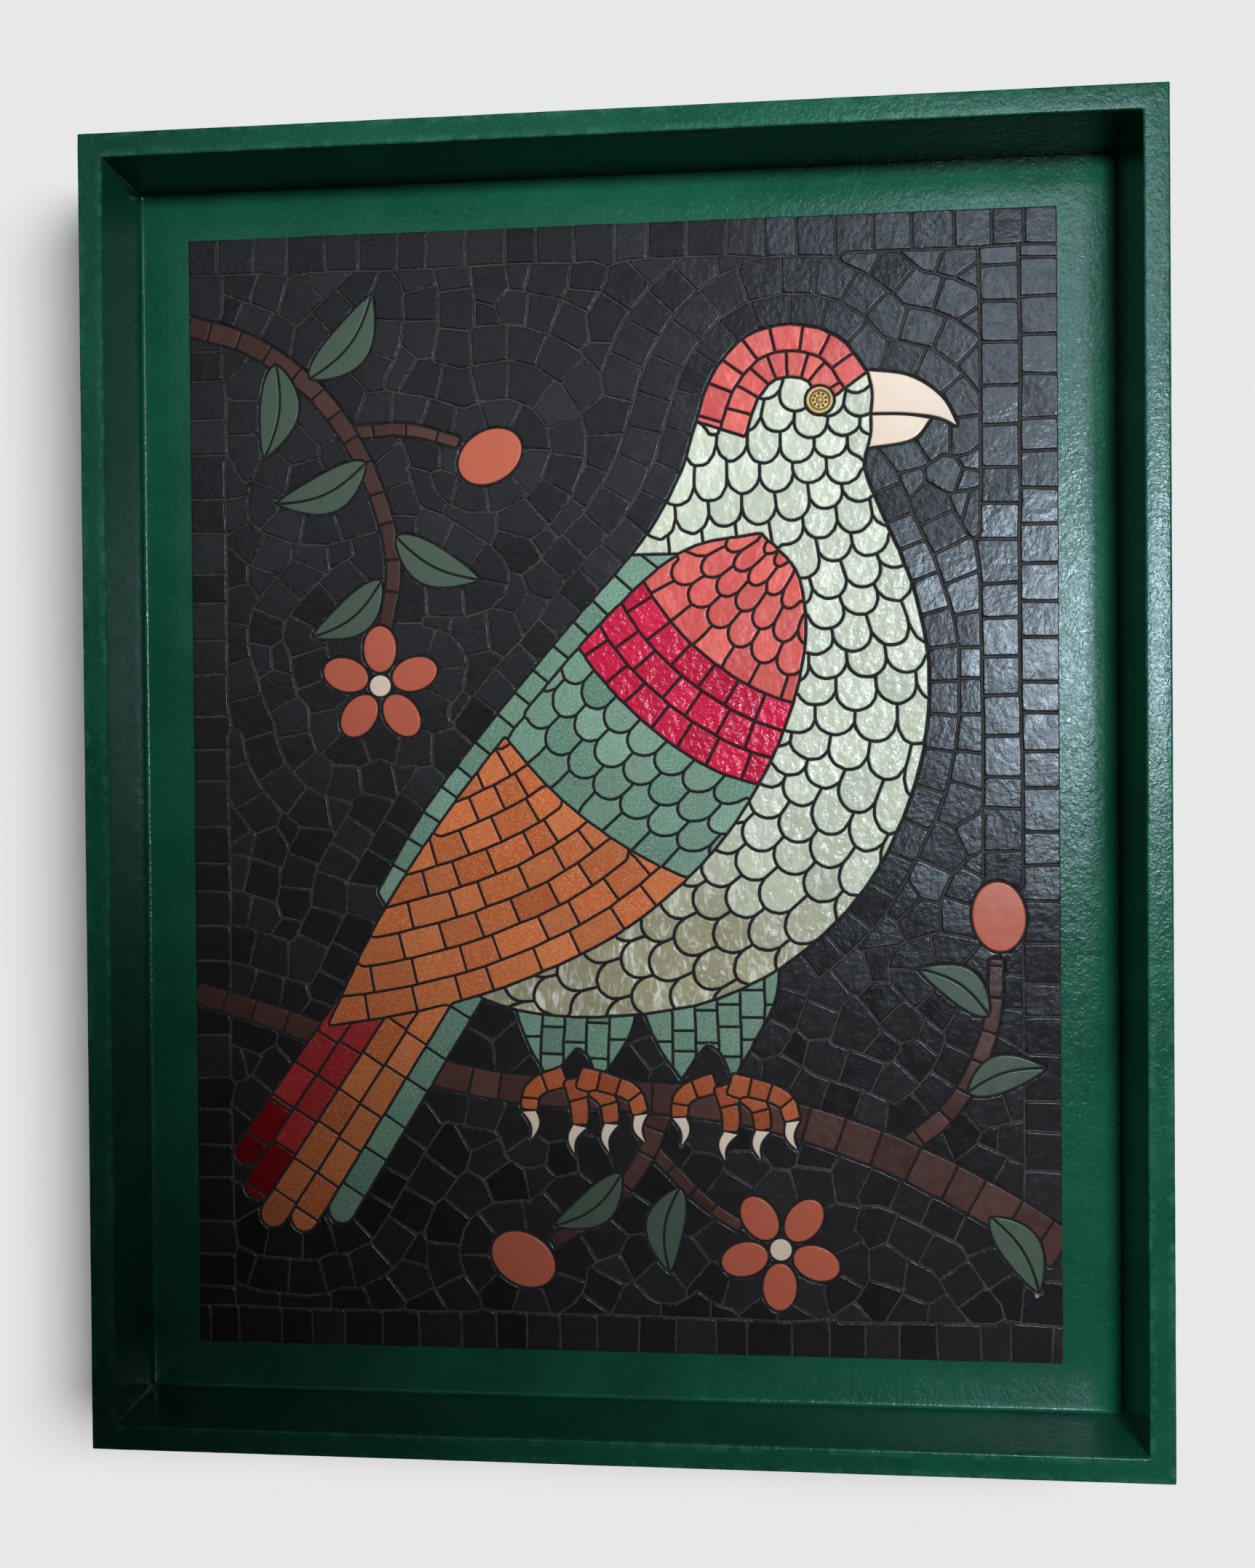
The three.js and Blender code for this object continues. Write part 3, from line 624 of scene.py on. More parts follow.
# ================================================================ materials
class Mat:
    """A node material, written as small sums of nodes."""
    def __init__(s, name):
        s.m = bpy.data.materials.new(name); s.m.use_nodes = True
        s.t = s.m.node_tree; s.b = s.t.nodes["Principled BSDF"] if "Principled BSDF" in s.t.nodes else s.t.nodes.new("ShaderNodeBsdfPrincipled")
        s.co = s.t.nodes.new("ShaderNodeTexCoord").outputs["Object"]
    def put(s, sock, v):
        if isinstance(v, bpy.types.NodeSocket): s.t.links.new(v, sock)
        elif isinstance(v, (tuple,list)) and len(v)==3 and sock.type=='RGBA': sock.default_value = (*v,1)
        else: sock.default_value = v
    def noise(s, scale, detail=2, rough=.5, stretch=None, dist=0):
        n = s.t.nodes.new("ShaderNodeTexNoise"); co = s.co
        if stretch:
            m = s.t.nodes.new("ShaderNodeMapping"); m.inputs["Scale"].default_value = stretch
            if len(stretch)==4: pass
            s.t.links.new(co,m.inputs["Vector"]); co = m.outputs["Vector"]
        s.t.links.new(co,n.inputs["Vector"])
        n.inputs["Scale"].default_value=scale; n.inputs["Detail"].default_value=detail; n.inputs["Roughness"].default_value=rough; n.inputs["Distortion"].default_value=dist
        return n.outputs["Fac"]
    def voronoi(s, scale, feature='F1', out="Distance"):
        n = s.t.nodes.new("ShaderNodeTexVoronoi"); n.feature=feature; s.t.links.new(s.co,n.inputs["Vector"]); n.inputs["Scale"].default_value=scale
        return n.outputs[out]
    def math(s, op, a, b=0.0, clamp=False):
        n = s.t.nodes.new("ShaderNodeMath"); n.operation=op; n.use_clamp=clamp; s.put(n.inputs[0],a); s.put(n.inputs[1],b); return n.outputs[0]
    def ramp(s, x, lo, hi, a=0.0, b=1.0):
        n = s.t.nodes.new("ShaderNodeMapRange"); n.interpolation_type='SMOOTHSTEP'; s.put(n.inputs["Value"],x)
        n.inputs["From Min"].default_value=lo; n.inputs["From Max"].default_value=hi; n.inputs["To Min"].default_value=a; n.inputs["To Max"].default_value=b
        return n.outputs[0]
    def mix(s, f, a, b, kind='MIX'):
        n = s.t.nodes.new("ShaderNodeMix"); n.data_type='RGBA'; n.blend_type=kind; n.clamp_factor=True
        s.put(n.inputs[0],f); s.put(n.inputs[6],a); s.put(n.inputs[7],b); return n.outputs[2]
    def tint(s):
        n = s.t.nodes.new("ShaderNodeAttribute"); n.attribute_name="tint"; sp = s.t.nodes.new("ShaderNodeSeparateColor")
        s.t.links.new(n.outputs["Color"],sp.inputs[0]); return sp.outputs[0], sp.outputs[1], sp.outputs[2]
    def scale(s, col, f):
        """Colour times a number."""
        n = s.t.nodes.new("ShaderNodeVectorMath"); n.operation='SCALE'; s.put(n.inputs[0],col); s.put(n.inputs["Scale"],f); return n.outputs[0]
    def bump(s, h, dist, prev=None, strength=1.0):
        n = s.t.nodes.new("ShaderNodeBump"); n.inputs["Strength"].default_value=strength; n.inputs["Distance"].default_value=dist
        s.put(n.inputs["Height"],h)
        if prev is not None: s.t.links.new(prev,n.inputs["Normal"])
        return n.outputs[0]
    def done(s, color, rough, normal=None, **kw):
        s.put(s.b.inputs["Base Color"],color); s.put(s.b.inputs["Roughness"],rough)
        if normal is not None: s.t.links.new(normal,s.b.inputs["Normal"])
        for k,v in kw.items(): s.b.inputs[k.replace('_',' ')].default_value = v
        return s.m
def lin(*c): return tuple(((v/255+.055)/1.055)**2.4 if v > 10.3 else v/255/12.92 for v in c)

def glass(name, a, b, rough, wave, fine, spot=None, chips_and_edge_glint=0, mottle=.12, streak=None, **kw):
    """Opaque cut glass: colour between a and b tile by tile, clouded within a tile, with a rippled face.
    tint red: brightness, green: place between a and b, blue: 1 along the cut edge."""
    m = Mat(name); tr, tg, tb = m.tint()
    col = m.mix(tg, a, b)
    n1 = m.noise(230,3,.55); k = m.math('MULTIPLY_ADD', n1, 2*mottle); k.node.inputs[2].default_value = 1-mottle
    if streak:
        s1 = m.noise(streak[0],4,.6,stretch=(1,1,.35),dist=1.2); col = m.mix(m.ramp(s1,.48,.68,0,streak[2]), col, streak[1])
    if spot:
        s2 = m.noise(spot[0],2,.6); col = m.mix(m.ramp(s2,.50,.66,0,spot[2]), col, spot[1])
        if len(spot) > 3:
            s3 = m.noise(spot[0]*.8,2,.6,stretch=(1,1,1.02)); col = m.mix(m.ramp(s3,.56,.70,0,spot[4]), col, spot[3])
    col = m.scale(col, m.math('MULTIPLY', tr, k))
    # lighter grey along the cut edge: partly chipped glass, partly a painted highlight standing in for the bevels'
    # glints
    if chips_and_edge_glint:
        c = m.math('MULTIPLY', m.ramp(m.noise(420,4,.7),.50,.66), tb); col = m.mix(m.math('MULTIPLY',c,chips_and_edge_glint), col, (.26,.265,.275))
    r = m.ramp(m.noise(170,3,.6),.3,.7,rough*.82,rough*1.25)
    h = m.bump(m.noise(wave[0],2,.45), wave[1]); h = m.bump(m.noise(fine[0],3,.6), fine[1], h)
    return m.done(col, r, h, **kw)

def paint(name):
    m = Mat(name); tr, tg, tb = m.tint()
    base = lin(24,93,71)
    c = m.mix(m.ramp(m.noise(28,4,.6),.35,.68), base, lin(19,82,62))
    c = m.mix(m.math('MULTIPLY',m.ramp(m.noise(950,2,.6),.56,.72),.35), c, lin(50,122,94))
    c = m.mix(m.math('MULTIPLY',m.ramp(m.noise(620,3,.6),.55,.75),.35), c, lin(13,56,40))
    # painted highlight: lighter green where the tint's blue marks a rounded front edge
    c = m.mix(m.math('MULTIPLY',m.math('MULTIPLY',tb,m.ramp(m.noise(190,4,.7),.42,.66)),.5), c, lin(62,134,112))
    c = m.scale(c, tr)
    r = m.ramp(m.noise(240,3,.6),.3,.7,.17,.27)
    h = m.bump(m.noise(300,2,.5), .00016); h = m.bump(m.noise(640,2,.6,dist=.6), .00015, h); h = m.bump(m.noise(2000,2,.5), .000022, h)
    return m.done(c, r, h)

def grout_mat():
    m = Mat("grout_dark")
    tr,_,_ = m.tint()
    c = m.mix(m.ramp(m.noise(300,4,.65),.35,.7), (.006,.0055,.0055), (.013,.012,.012))
    # tint red picks the grey of the ground's joints; the near-black round the figures is partly painted shade of the
    # recessed joints
    c = m.mix(tr, c, m.mix(m.ramp(m.noise(120,4,.65),.35,.7), (.030,.030,.031), (.058,.058,.060)))
    c = m.mix(m.math('MULTIPLY',m.ramp(m.noise(1500,3,.7),.66,.78),.35), c, (.10,.10,.10))
    h = m.bump(m.noise(1400,4,.65), .00012)
    return m.done(c, m.ramp(m.noise(600,2,.5),.3,.7,.62,.85), h)

def brass_mat():
    m = Mat("brass_old"); tr, tg, tb = m.tint()
    c = m.mix(m.ramp(m.noise(500,4,.65),.4,.7), (.80,.56,.20), (.58,.38,.13))
    c = m.mix(tg, c, (.035,.022,.012))
    c = m.mix(m.math('MULTIPLY',tb,.45), c, (.92,.72,.36))
    h = m.bump(m.noise(1800,3,.6), .00003)
    return m.done(c, m.ramp(m.noise(900,3,.6),.3,.7,.38,.55), h, Metallic=.45)

WHITE = (.62,.66,.60)
MATS = {
 'ground': glass("glass_charcoal", (.0150,.0140,.0155), (.022,.0215,.0250), .24, (400,.00017), (1500,.00004), chips_and_edge_glint=.5, mottle=.18),
 'pale': glass("glass_pale_green", lin(208,222,206), lin(170,168,140), .16, (300,.00085), (1100,.00008), streak=(300,lin(238,244,234),.85), mottle=.12),
 'coral': glass("glass_coral", lin(222,104,98), lin(205,84,84), .24, (330,.00026), (1300,.00003), streak=(420,lin(240,150,140),.4), mottle=.10),
 'crimson': glass("glass_crimson", lin(212,38,78), lin(190,28,64), .15, (380,.00095), (900,.00012), mottle=.16),
 'sage': glass("glass_sage", lin(122,160,142), lin(96,138,120), .36, (300,.00010), (1900,.00004), spot=(1500,lin(168,196,180),.75,lin(66,104,90),.7), mottle=.08),
 'orange': glass("glass_orange", lin(216,124,74), lin(196,98,52), .36, (300,.00010), (1900,.00004), spot=(1400,lin(236,164,112),.7,lin(160,70,34),.6), mottle=.10),
 'red': glass("glass_red", lin(186,50,52), lin(160,36,42), .34, (300,.00010), (1900,.00004), spot=(1400,lin(214,92,84),.5,lin(112,18,26),.5), mottle=.10),
 'darkred': glass("glass_dark_red", lin(140,10,20), lin(112,6,14), .24, (300,.00020), (1400,.00004), mottle=.14),
 'rust': glass("glass_rust", lin(190,98,58), lin(160,76,42), .32, (340,.00020), (1700,.00004), spot=(1500,lin(214,134,90),.6,lin(120,52,28),.5), mottle=.14),
 'brown': glass("glass_brown", lin(88,60,54), lin(70,46,42), .34, (320,.00016), (1700,.00003), chips_and_edge_glint=.2, mottle=.16),
 'terra': glass("glass_terracotta", lin(196,104,82), lin(188,96,76), .30, (200,.00010), (1300,.000015), mottle=.06),
 'leaf': glass("glass_leaf", lin(82,100,88), lin(70,88,76), .32, (260,.00010), (1500,.00002), mottle=.10),
 'cream': glass("glass_cream", lin(240,226,212), lin(232,216,200), .20, (200,.00004), (1200,.00001), mottle=.04),
}
PAINT, GROUT, BRASS = paint("green_paint_semi_gloss"), grout_mat(), brass_mat()

def make(name, verts, faces, mat, tint=None, sharp=None):
    """A piece in metres from vertices in mm; its callers put it on the one body."""
    me = bpy.data.meshes.new(name)
    me.from_pydata((np.asarray(verts,float)*MM).tolist(), [], faces)
    if tint is not None:
        at = me.attributes.new("tint",'FLOAT_COLOR','POINT'); at.data.foreach_set("color", np.asarray(tint,np.float32).ravel())
    if me.validate(): print('repaired', name)
    me.polygons.foreach_set("use_smooth",[True]*len(me.polygons))
    if sharp: me.set_sharp_from_angle(angle=radians(sharp))
    me.materials.append(mat); me.update()
    ob = bpy.data.objects.new(name, me); bpy.context.scene.collection.objects.link(ob)
    return ob

# ================================================================ tiles
def resample(p, step):
    out = []
    for i in range(len(p)):
        a, b = p[i], p[(i+1)%len(p)]; m = max(1,int(round(np.hypot(*(b-a))/step)))
        for k in range(m): out.append(a+(b-a)*k/m)
    return np.array(out)
def inside_pts(pts, poly):
    x, z = pts[:,0], pts[:,1]; r = np.zeros(len(pts),bool)
    for (x1,z1),(x2,z2) in zip(poly,np.roll(poly,-1,0)):
        if z1 != z2: r ^= ((z1 > z) != (z2 > z)) & (x < (x2-x1)*(z-z1)/(z2-z1)+x1)
    return r
def edge_dist(pts, poly):
    d = np.full(len(pts),1e9)
    for a,b in zip(poly,np.roll(poly,-1,0)):
        ab = b-a; t = np.clip(((pts-a)@ab)/max(ab@ab,1e-12),0,1); e = pts-a-t[:,None]*ab
        d = np.minimum(d,(e*e).sum(1))
    return np.sqrt(d)
#            wave height, wave length, crown, tilt, mesh step, soft edge, top over the usual
STYLE = {
 'ground':  (.060,5.0,.02,.018,1.75,.42,-.05), 'pale':    (.110,3.4,.06,.020,1.30,.42,.03), 'coral':  (.055,3.8,.05,.016,1.40,.36,.0),
 'crimson': (.150,2.5,.04,.018,1.10,.34,.03),  'sage':    (.035,3.4,.04,.014,1.60,.32,.0),  'orange': (.035,3.4,.03,.014,1.60,.32,.0),
 'red':     (.035,3.4,.03,.014,1.60,.32,.0),   'darkred': (.070,3.2,.05,.014,1.50,.34,.0),  'rust':   (.060,3.0,.06,.018,1.40,.34,.0),
 'brown':   (.045,4.5,.03,.014,1.70,.30,-.03), 'terra':   (.030,8.0,.16,.002,1.50,.50,-.10),'leaf':   (.030,7.0,.05,.005,1.50,.35,-.04),
 'cream':   (.015,7.0,.14,.002,1.00,.45,-.08)}
MISSED = [0]
def tile(poly, g, r):
    """One closed tile from its outline: vertices (x, z, height over the board), faces, and which vertices are on the cut edge."""
    wav, lam, crown, tilt, step, edge, up = STYLE[g]
    p0 = resample(poly, step); n = len(p0)
    width = 2*area2(poly)/np.hypot(*(np.roll(poly,-1,0)-poly).T).sum()
    edge = min(edge, .20*width)
    top = TILE_H+up+np.clip(r.normal(0,.04),-.1,.06)
    c = poly.mean(0); s = r.normal(0,tilt,2); ph = r.uniform(0,900,2); size2 = abs(area2(poly))*.42
    def h(q, d):
        o = q-c
        w = vnoise(q[:,0]+ph[0],q[:,1]+ph[1],lam,201)*.65+vnoise(q[:,0]-ph[1],q[:,1]+ph[0],lam*.45,202)*.35
        return np.minimum(top+o@s+wav*w*1.5+crown*(1-np.clip((o*o).sum(1)/size2,0,1.5)), TILE_H+.3)+edge*np.interp(d/edge,[0,.3,1],[-.95,-.30,0])
    lo, hi = poly.min(0), poly.max(0)
    A,B = np.meshgrid(np.arange(lo[0],hi[0]+step,step), np.arange(lo[1],hi[1]+step,step*.87))
    A = A+((np.arange(len(A))%2)*step/2)[:,None]
    pts = np.stack([A.ravel(),B.ravel()],1); pts = pts+r.uniform(-.1,.1,pts.shape)*step
    sets = [(pts, edge+.25+step*.45, 1e9)]+[(grow(p0,-d), d*.93, d*1.5) for d in (edge*.3, edge, edge+min(.25,.1*width))]
    keep, dist = [], []
    for q, dmin, dmax in sets:
        q = q[inside_pts(q,poly)]
        if len(q) == 0: continue
        d = edge_dist(q,poly); m = (d >= dmin)&(d <= dmax); keep.append(q[m]); dist.append(d[m])
    allp = np.concatenate([p0]+keep); D = np.concatenate([np.zeros(n)]+dist)
    V2,_,F,_,_,_ = geo.delaunay_2d_cdt([Vector(v) for v in allp.tolist()], [(i,(i+1)%n) for i in range(n)], [], 1, 1e-6)
    q = np.array([tuple(v) for v in V2]); D = edge_dist(q,poly); D[D < .01] = 0
    if len(q) != len(allp): MISSED[0] += 1
    F = [tuple(t) if area2(q[list(t)]) > 0 else tuple(t)[::-1] for t in F if abs(area2(q[list(t)])) > 1e-7]
    used = {(t[k],t[(k+1)%len(t)]) for t in F for k in range(len(t))}
    rim = [(a,b) for a,b in used if (b,a) not in used]; nxt = dict(rim); m = len(q)
    loop = [rim[0][0]]
    while len(loop) <= len(rim) and nxt.get(loop[-1]) not in (None,loop[0]): loop.append(nxt[loop[-1]])
    if len(loop) == len(rim) == len(nxt):       # one plain loop: a single flat back
        foot = {a:m+k for k,a in enumerate(loop)}; back = [tuple(foot[a] for a in loop)[::-1]]
    else:
        foot = {a:m+a for a in range(m)}; back = [tuple(m+a for a in t)[::-1] for t in F]
    V = np.concatenate([np.column_stack([q,h(q,D)]), np.array([(q[a,0],q[a,1],.35) for a in foot])])
    f = F+[(foot[a],foot[b],b,a) for a,b in rim]+back
    return V, f, np.concatenate([np.clip(1-D/(edge+.05),0,1), np.ones(len(V)-m)])
def world(V): return np.column_stack([V[:,0]+BX, BOARD_Y-V[:,2], V[:,1]+BZ])
def flip(f): return [t[::-1] for t in f]       # x right, z up and height towards -y make a left-handed set

build(); ground()
CELLS = outlines()
single = {node: poly for node,_,poly,_ in SINGLES}
parts = {}
r = np.random.default_rng(7)
for lab,g,node,poly in CELLS:
    if node is not None: continue
    q = inset(clean(poly), GROUP_GAP[g]/2)
    if q is None or area2(q) < 3: continue
    made = tile(q,g,r)
    if made is None: continue
    V,f,e = made
    parts.setdefault(g,[]).append((q,V,f,e))
print("tiles", {k:len(v) for k,v in parts.items()}, "retries", MISSED)
def gather(name, items, g, bright=(.90,1.10), spread=1.0):
    vs, fs, ts, o = [], [], [], 0
    rr = np.random.default_rng(len(name)*7+3)
    for q,V,f,e in items:
        vs.append(world(V)); fs += [tuple(i+o for i in t) for t in f]; o += len(V)
        b, h = rr.uniform(*bright), rr.uniform(0,spread)
        # the pale scales turn a darker olive towards the lower left of the breast, with a random share per tile
        if g == 'pale': h = np.clip(1.15*np.clip((-q[:,1].mean()-q[:,0].mean()*.35+5)/70,0,1)+rr.uniform(-.1,.22),0,1)
        ts.append(np.column_stack([np.full(len(V),b),np.full(len(V),h),e,np.ones(len(V))]))
    ob = make(name, np.concatenate(vs), fs, MATS[g], np.concatenate(ts))
    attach(ob,"root")
    print(name, len(vs), "pieces", sum(len(t)-2 for t in fs), "triangles")
    return ob
NAMES = {'pale':'breast_tiles','coral':'coral_tiles','crimson':'crimson_tiles','sage':'sage_tiles','orange':'orange_tiles','red':'red_tiles','darkred':'tail_tip_tiles','rust':'foot_tiles','brown':'branch_tiles'}
left = [t for t in parts['ground'] if t[0][:,0].mean() < 0]; right = [t for t in parts['ground'] if t[0][:,0].mean() >= 0]
gather('ground_tiles_left', left, 'ground', (.80,1.25)); gather('ground_tiles_right', right, 'ground', (.80,1.25))
for g,nm in NAMES.items(): gather(nm, parts[g], g, {'orange':(.84,1.12),'pale':(.86,1.08),'brown':(.8,1.2)}.get(g,(.88,1.10)))
for node,g,poly,_ in SINGLES:
    if g == 'eye': continue
    V,f,e = tile(ccw(poly),g,r)
    ob = gather(node+'_glass', [(poly,V,f,e)], g, (.96,1.04))
    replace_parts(ob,node)

# ================================================================ grout
def grid_sheet(xs, zs, h):
    A,B = np.meshgrid(xs,zs); V = np.column_stack([A.ravel(),B.ravel(),h(A.ravel(),B.ravel())]); w = len(xs)
    F = [(j*w+i,j*w+i+1,(j+1)*w+i+1,(j+1)*w+i) for j in range(len(zs)-1) for i in range(w-1)]
    rim = [i for i in range(w)]+[j*w+w-1 for j in range(1,len(zs))]+[(len(zs)-1)*w+i for i in range(w-2,-1,-1)]+[j*w for j in range(len(zs)-2,0,-1)]
    return V,F,rim
def closed(V,F,rim,back):
    """A sheet with walls down to a flat back."""
    n = len(V); R = V[rim].copy(); R[:,2] = back; m = len(rim)
    V = np.concatenate([V,R]); F = list(F)
    for i in range(m): j=(i+1)%m; F.append((rim[i],n+i,n+j,rim[j]))
    F.append(tuple(n+i for i in range(m))[::-1])
    return V,F
def lines(a, b, step, ends=(.25,.7,1.4)):
    mid = np.linspace(a+ends[-1],b-ends[-1],max(2,int((b-a-2*ends[-1])/step)+1))
    return np.concatenate([[a],[a+e for e in ends[:-1]],mid,[b-e for e in ends[:-1]][::-1],[b]])
def gh(x,z):
    d = np.minimum(np.minimum(x+MW/2,MW/2-x),np.minimum(z+MH/2,MH/2-z))
    return GROUT_H+vnoise(x,z,3.1,301)*.07+vnoise(x,z,9,302)*.05-.55*np.clip(1-d/.7,0,1)**2
V,F,rim = grid_sheet(lines(-MW/2,MW/2,1.6), lines(-MH/2,MH/2,1.6), gh)
V,F = closed(V,F,rim,.32)
# the joints round the figures are blacker than those of the ground: partly darker grout, partly painted shade of these
# recessed joints
kinds = np.array([gg == 'ground' for gg,_ in INFO]); onground = kinds[np.maximum(LAB,0)]
near = distance(~onground)
ix = np.clip(((V[:,0]-X0)/RES).astype(int),0,NX-1); iz = np.clip(((V[:,1]-Z0)/RES).astype(int),0,NZ-1)
g_ = np.clip((near[iz,ix]-1.0)/1.2,0,1)
ob = make('grout_joints', world(V), F, GROUT, np.column_stack([g_,g_,g_*0,g_*0+1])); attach(ob,"root"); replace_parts(ob,"grout_bed")

# ================================================================ board
def bh(x,z):
    """Painted face: roller unevenness, and a small fillet of paint against the rails and the mosaic."""
    d = np.minimum(IN_W/2-np.abs(x), IN_H/2-np.abs(z))
    m = np.maximum(np.abs(x-BX)-MW/2, np.abs(z-BZ)-MH/2)
    P = np.column_stack([x,z,0*x])
    side = np.where((IN_W/2+x < IN_W/2-x)&(IN_W/2+x < 3)|(IN_H/2+z < 3), 1.0, 0.0)     # more paint gathered at the left and at the bottom
    return -.02+noise3(P,7,311)*.05+noise3(P,2.9,312)*.045+side*np.clip(1-d/(.5+side),0,1)**2.2+.35*np.clip(1-np.maximum(m,0)/.9,0,1)**2*(m>-.5)
V,F,rim = grid_sheet(lines(-IN_W/2,IN_W/2,2.3,(.35,.8,1.5)), lines(-IN_H/2,IN_H/2,2.3,(.35,.8,1.5)), bh)
V,F = closed(V,F,rim,-BOARD_T+.0)
bw = np.column_stack([V[:,0], BOARD_Y-V[:,2], V[:,1]])
t = np.ones((len(V),4)); t[:,1:3] = 0
ob = make('board_painted', bw, F, PAINT, t, sharp=50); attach(ob,"root"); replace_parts(ob,"backing_board")

# ================================================================ rails
def section():
    """The rail's outline as (u, v, nu, nv, edge): u outwards from the inner face, v towards the wall side is 0 and the front -DEPTH."""
    c = [((0,0),.5),((RAIL,0),.6),((RAIL,-DEPTH),1.15),((0,-DEPTH),.85)]
    out = []
    for i,((u,v),R) in enumerate(c):
        p = np.array(c[i-1][0],float); q = np.array((u,v),float); s = np.array(c[(i+1)%4][0],float)
        a = (p-q)/np.linalg.norm(p-q); b = (s-q)/np.linalg.norm(s-q); o = q+(a+b)*R; m = 6 if i > 1 else 3
        for k in range(m+1):
            w = k/m*pi/2; d = -a*sin(w)-b*cos(w)
            d = -(b*cos(w)+a*sin(w)); 
            out.append((*(o+d*R),*d,1.0))
        e = s-b*c[(i+1)%4][1]; st = q+b*R; L = np.linalg.norm(e-st); k = max(1,int(L/2.3))
        for j in range(1,k):
            nn = -(a) if True else a
            out.append((*(st+(e-st)*j/k),*(-a),0.0))
    return np.array(out)
SEC = section()
def corner_round(x, z, R):
    """Rounds the frame's outer corners."""
    a, b = OUT_W/2-np.abs(x), OUT_H/2-np.abs(z); l = np.hypot(R-a,R-b)
    m = (a<R)&(b<R)&(l>R); k = np.where(m,R/np.maximum(l,1e-9),1)
    return np.where(m,np.sign(x)*(OUT_W/2-(R-(R-a)*k)),x), np.where(m,np.sign(z)*(OUT_H/2-(R-(R-b)*k)),z)
def make_rail(name, horizontal, sign):
    half_in = (IN_W if horizontal else IN_H)/2; off = (IN_H if horizontal else IN_W)/2
    L = half_in
    t = np.concatenate([[0,.25,.6,1.1,1.8,2.8,4.0,5.5],np.linspace(7.3,L,int(L/2.3))])      # distance from the end, mm
    t = np.concatenate([-(1-t/L), (1-t/L)[::-1][1:]])
    n = len(SEC); U = np.tile(SEC[:,0],len(t)); Vv = np.tile(SEC[:,1],len(t)); NU = np.tile(SEC[:,2],len(t)); NV = np.tile(SEC[:,3],len(t)); E = np.tile(SEC[:,4],len(t)); T = np.repeat(t,n)
    def place(U,Vv):
        along = T*(half_in+U); across = sign*(off+U)
        return (along,across) if horizontal else (across,along)
    x,z = place(U,Vv); P = np.column_stack([x,Vv,z])
    d = .07*(noise3(P,11,321)-1)*.5+.06*(noise3(P,4.2,322)-1)*.5+.035*(noise3(P,2.4,323)-1)*.5
    d = d*np.where(Vv > -1,0.3,1)
    U2, V2 = U+NU*d, Vv+NV*d
    x,z = place(U2,V2)
    # paint gathered in the inner corners
    a0, b0 = IN_W/2-np.abs(x), IN_H/2-np.abs(z)
    deep = np.clip((Vv+DEPTH)/(DEPTH-BOARD_T),0,1)
    low = z < 0
    R = np.where(low, 1.0+2.6*deep**2, .7+.8*deep)
    w = np.clip(1-np.maximum(U,0)/2.5,0,1)
    aw, bw_ = np.maximum(a0,0), np.maximum(b0,0); l = np.hypot(R-aw,R-bw_)
    m = (aw<R)&(bw_<R)&(l>R)
    k = np.where(m,R/np.maximum(l,1e-9),1)
    dx = ((R-(R-aw)*k)-aw)*w*m; dz = ((R-(R-bw_)*k)-bw_)*w*m
    x = x-np.sign(x)*dx; z = z-np.sign(z)*dz
    x,z = corner_round(x,z,1.3)
    W = np.column_stack([x,V2,z])
    F = []
    for j in range(len(t)-1):
        for i in range(n):
            k2 = (i+1)%n; F.append((j*n+i,j*n+k2,(j+1)*n+k2,(j+1)*n+i))
    F.append(tuple(range(n-1,-1,-1))); F.append(tuple((len(t)-1)*n+i for i in range(n)))
    # tint blue marks the rounded edges of the front half, which the paint lightens as a painted highlight
    tn = np.column_stack([np.ones(len(W)),np.zeros(len(W)),E*(Vv<-DEPTH/2),np.ones(len(W))])
    ob = make(name, W, F, PAINT, tn, sharp=40)
    me = ob.data
    if sum((p.area*p.normal.dot(p.center-Vector((0 if horizontal else sign*(off+RAIL/2)*MM, -DEPTH/2*MM, sign*(off+RAIL/2)*MM if horizontal else 0)))) for p in me.polygons) < 0: me.flip_normals()
    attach(ob,"root"); print(name, len(F)*2)
    return ob
for nm,h,s in (('bottom',True,-1),('top',True,1),('left',False,-1),('right',False,1)):
    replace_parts(make_rail('rail_%s_painted'%nm,h,s),'frame_rail_'+nm)

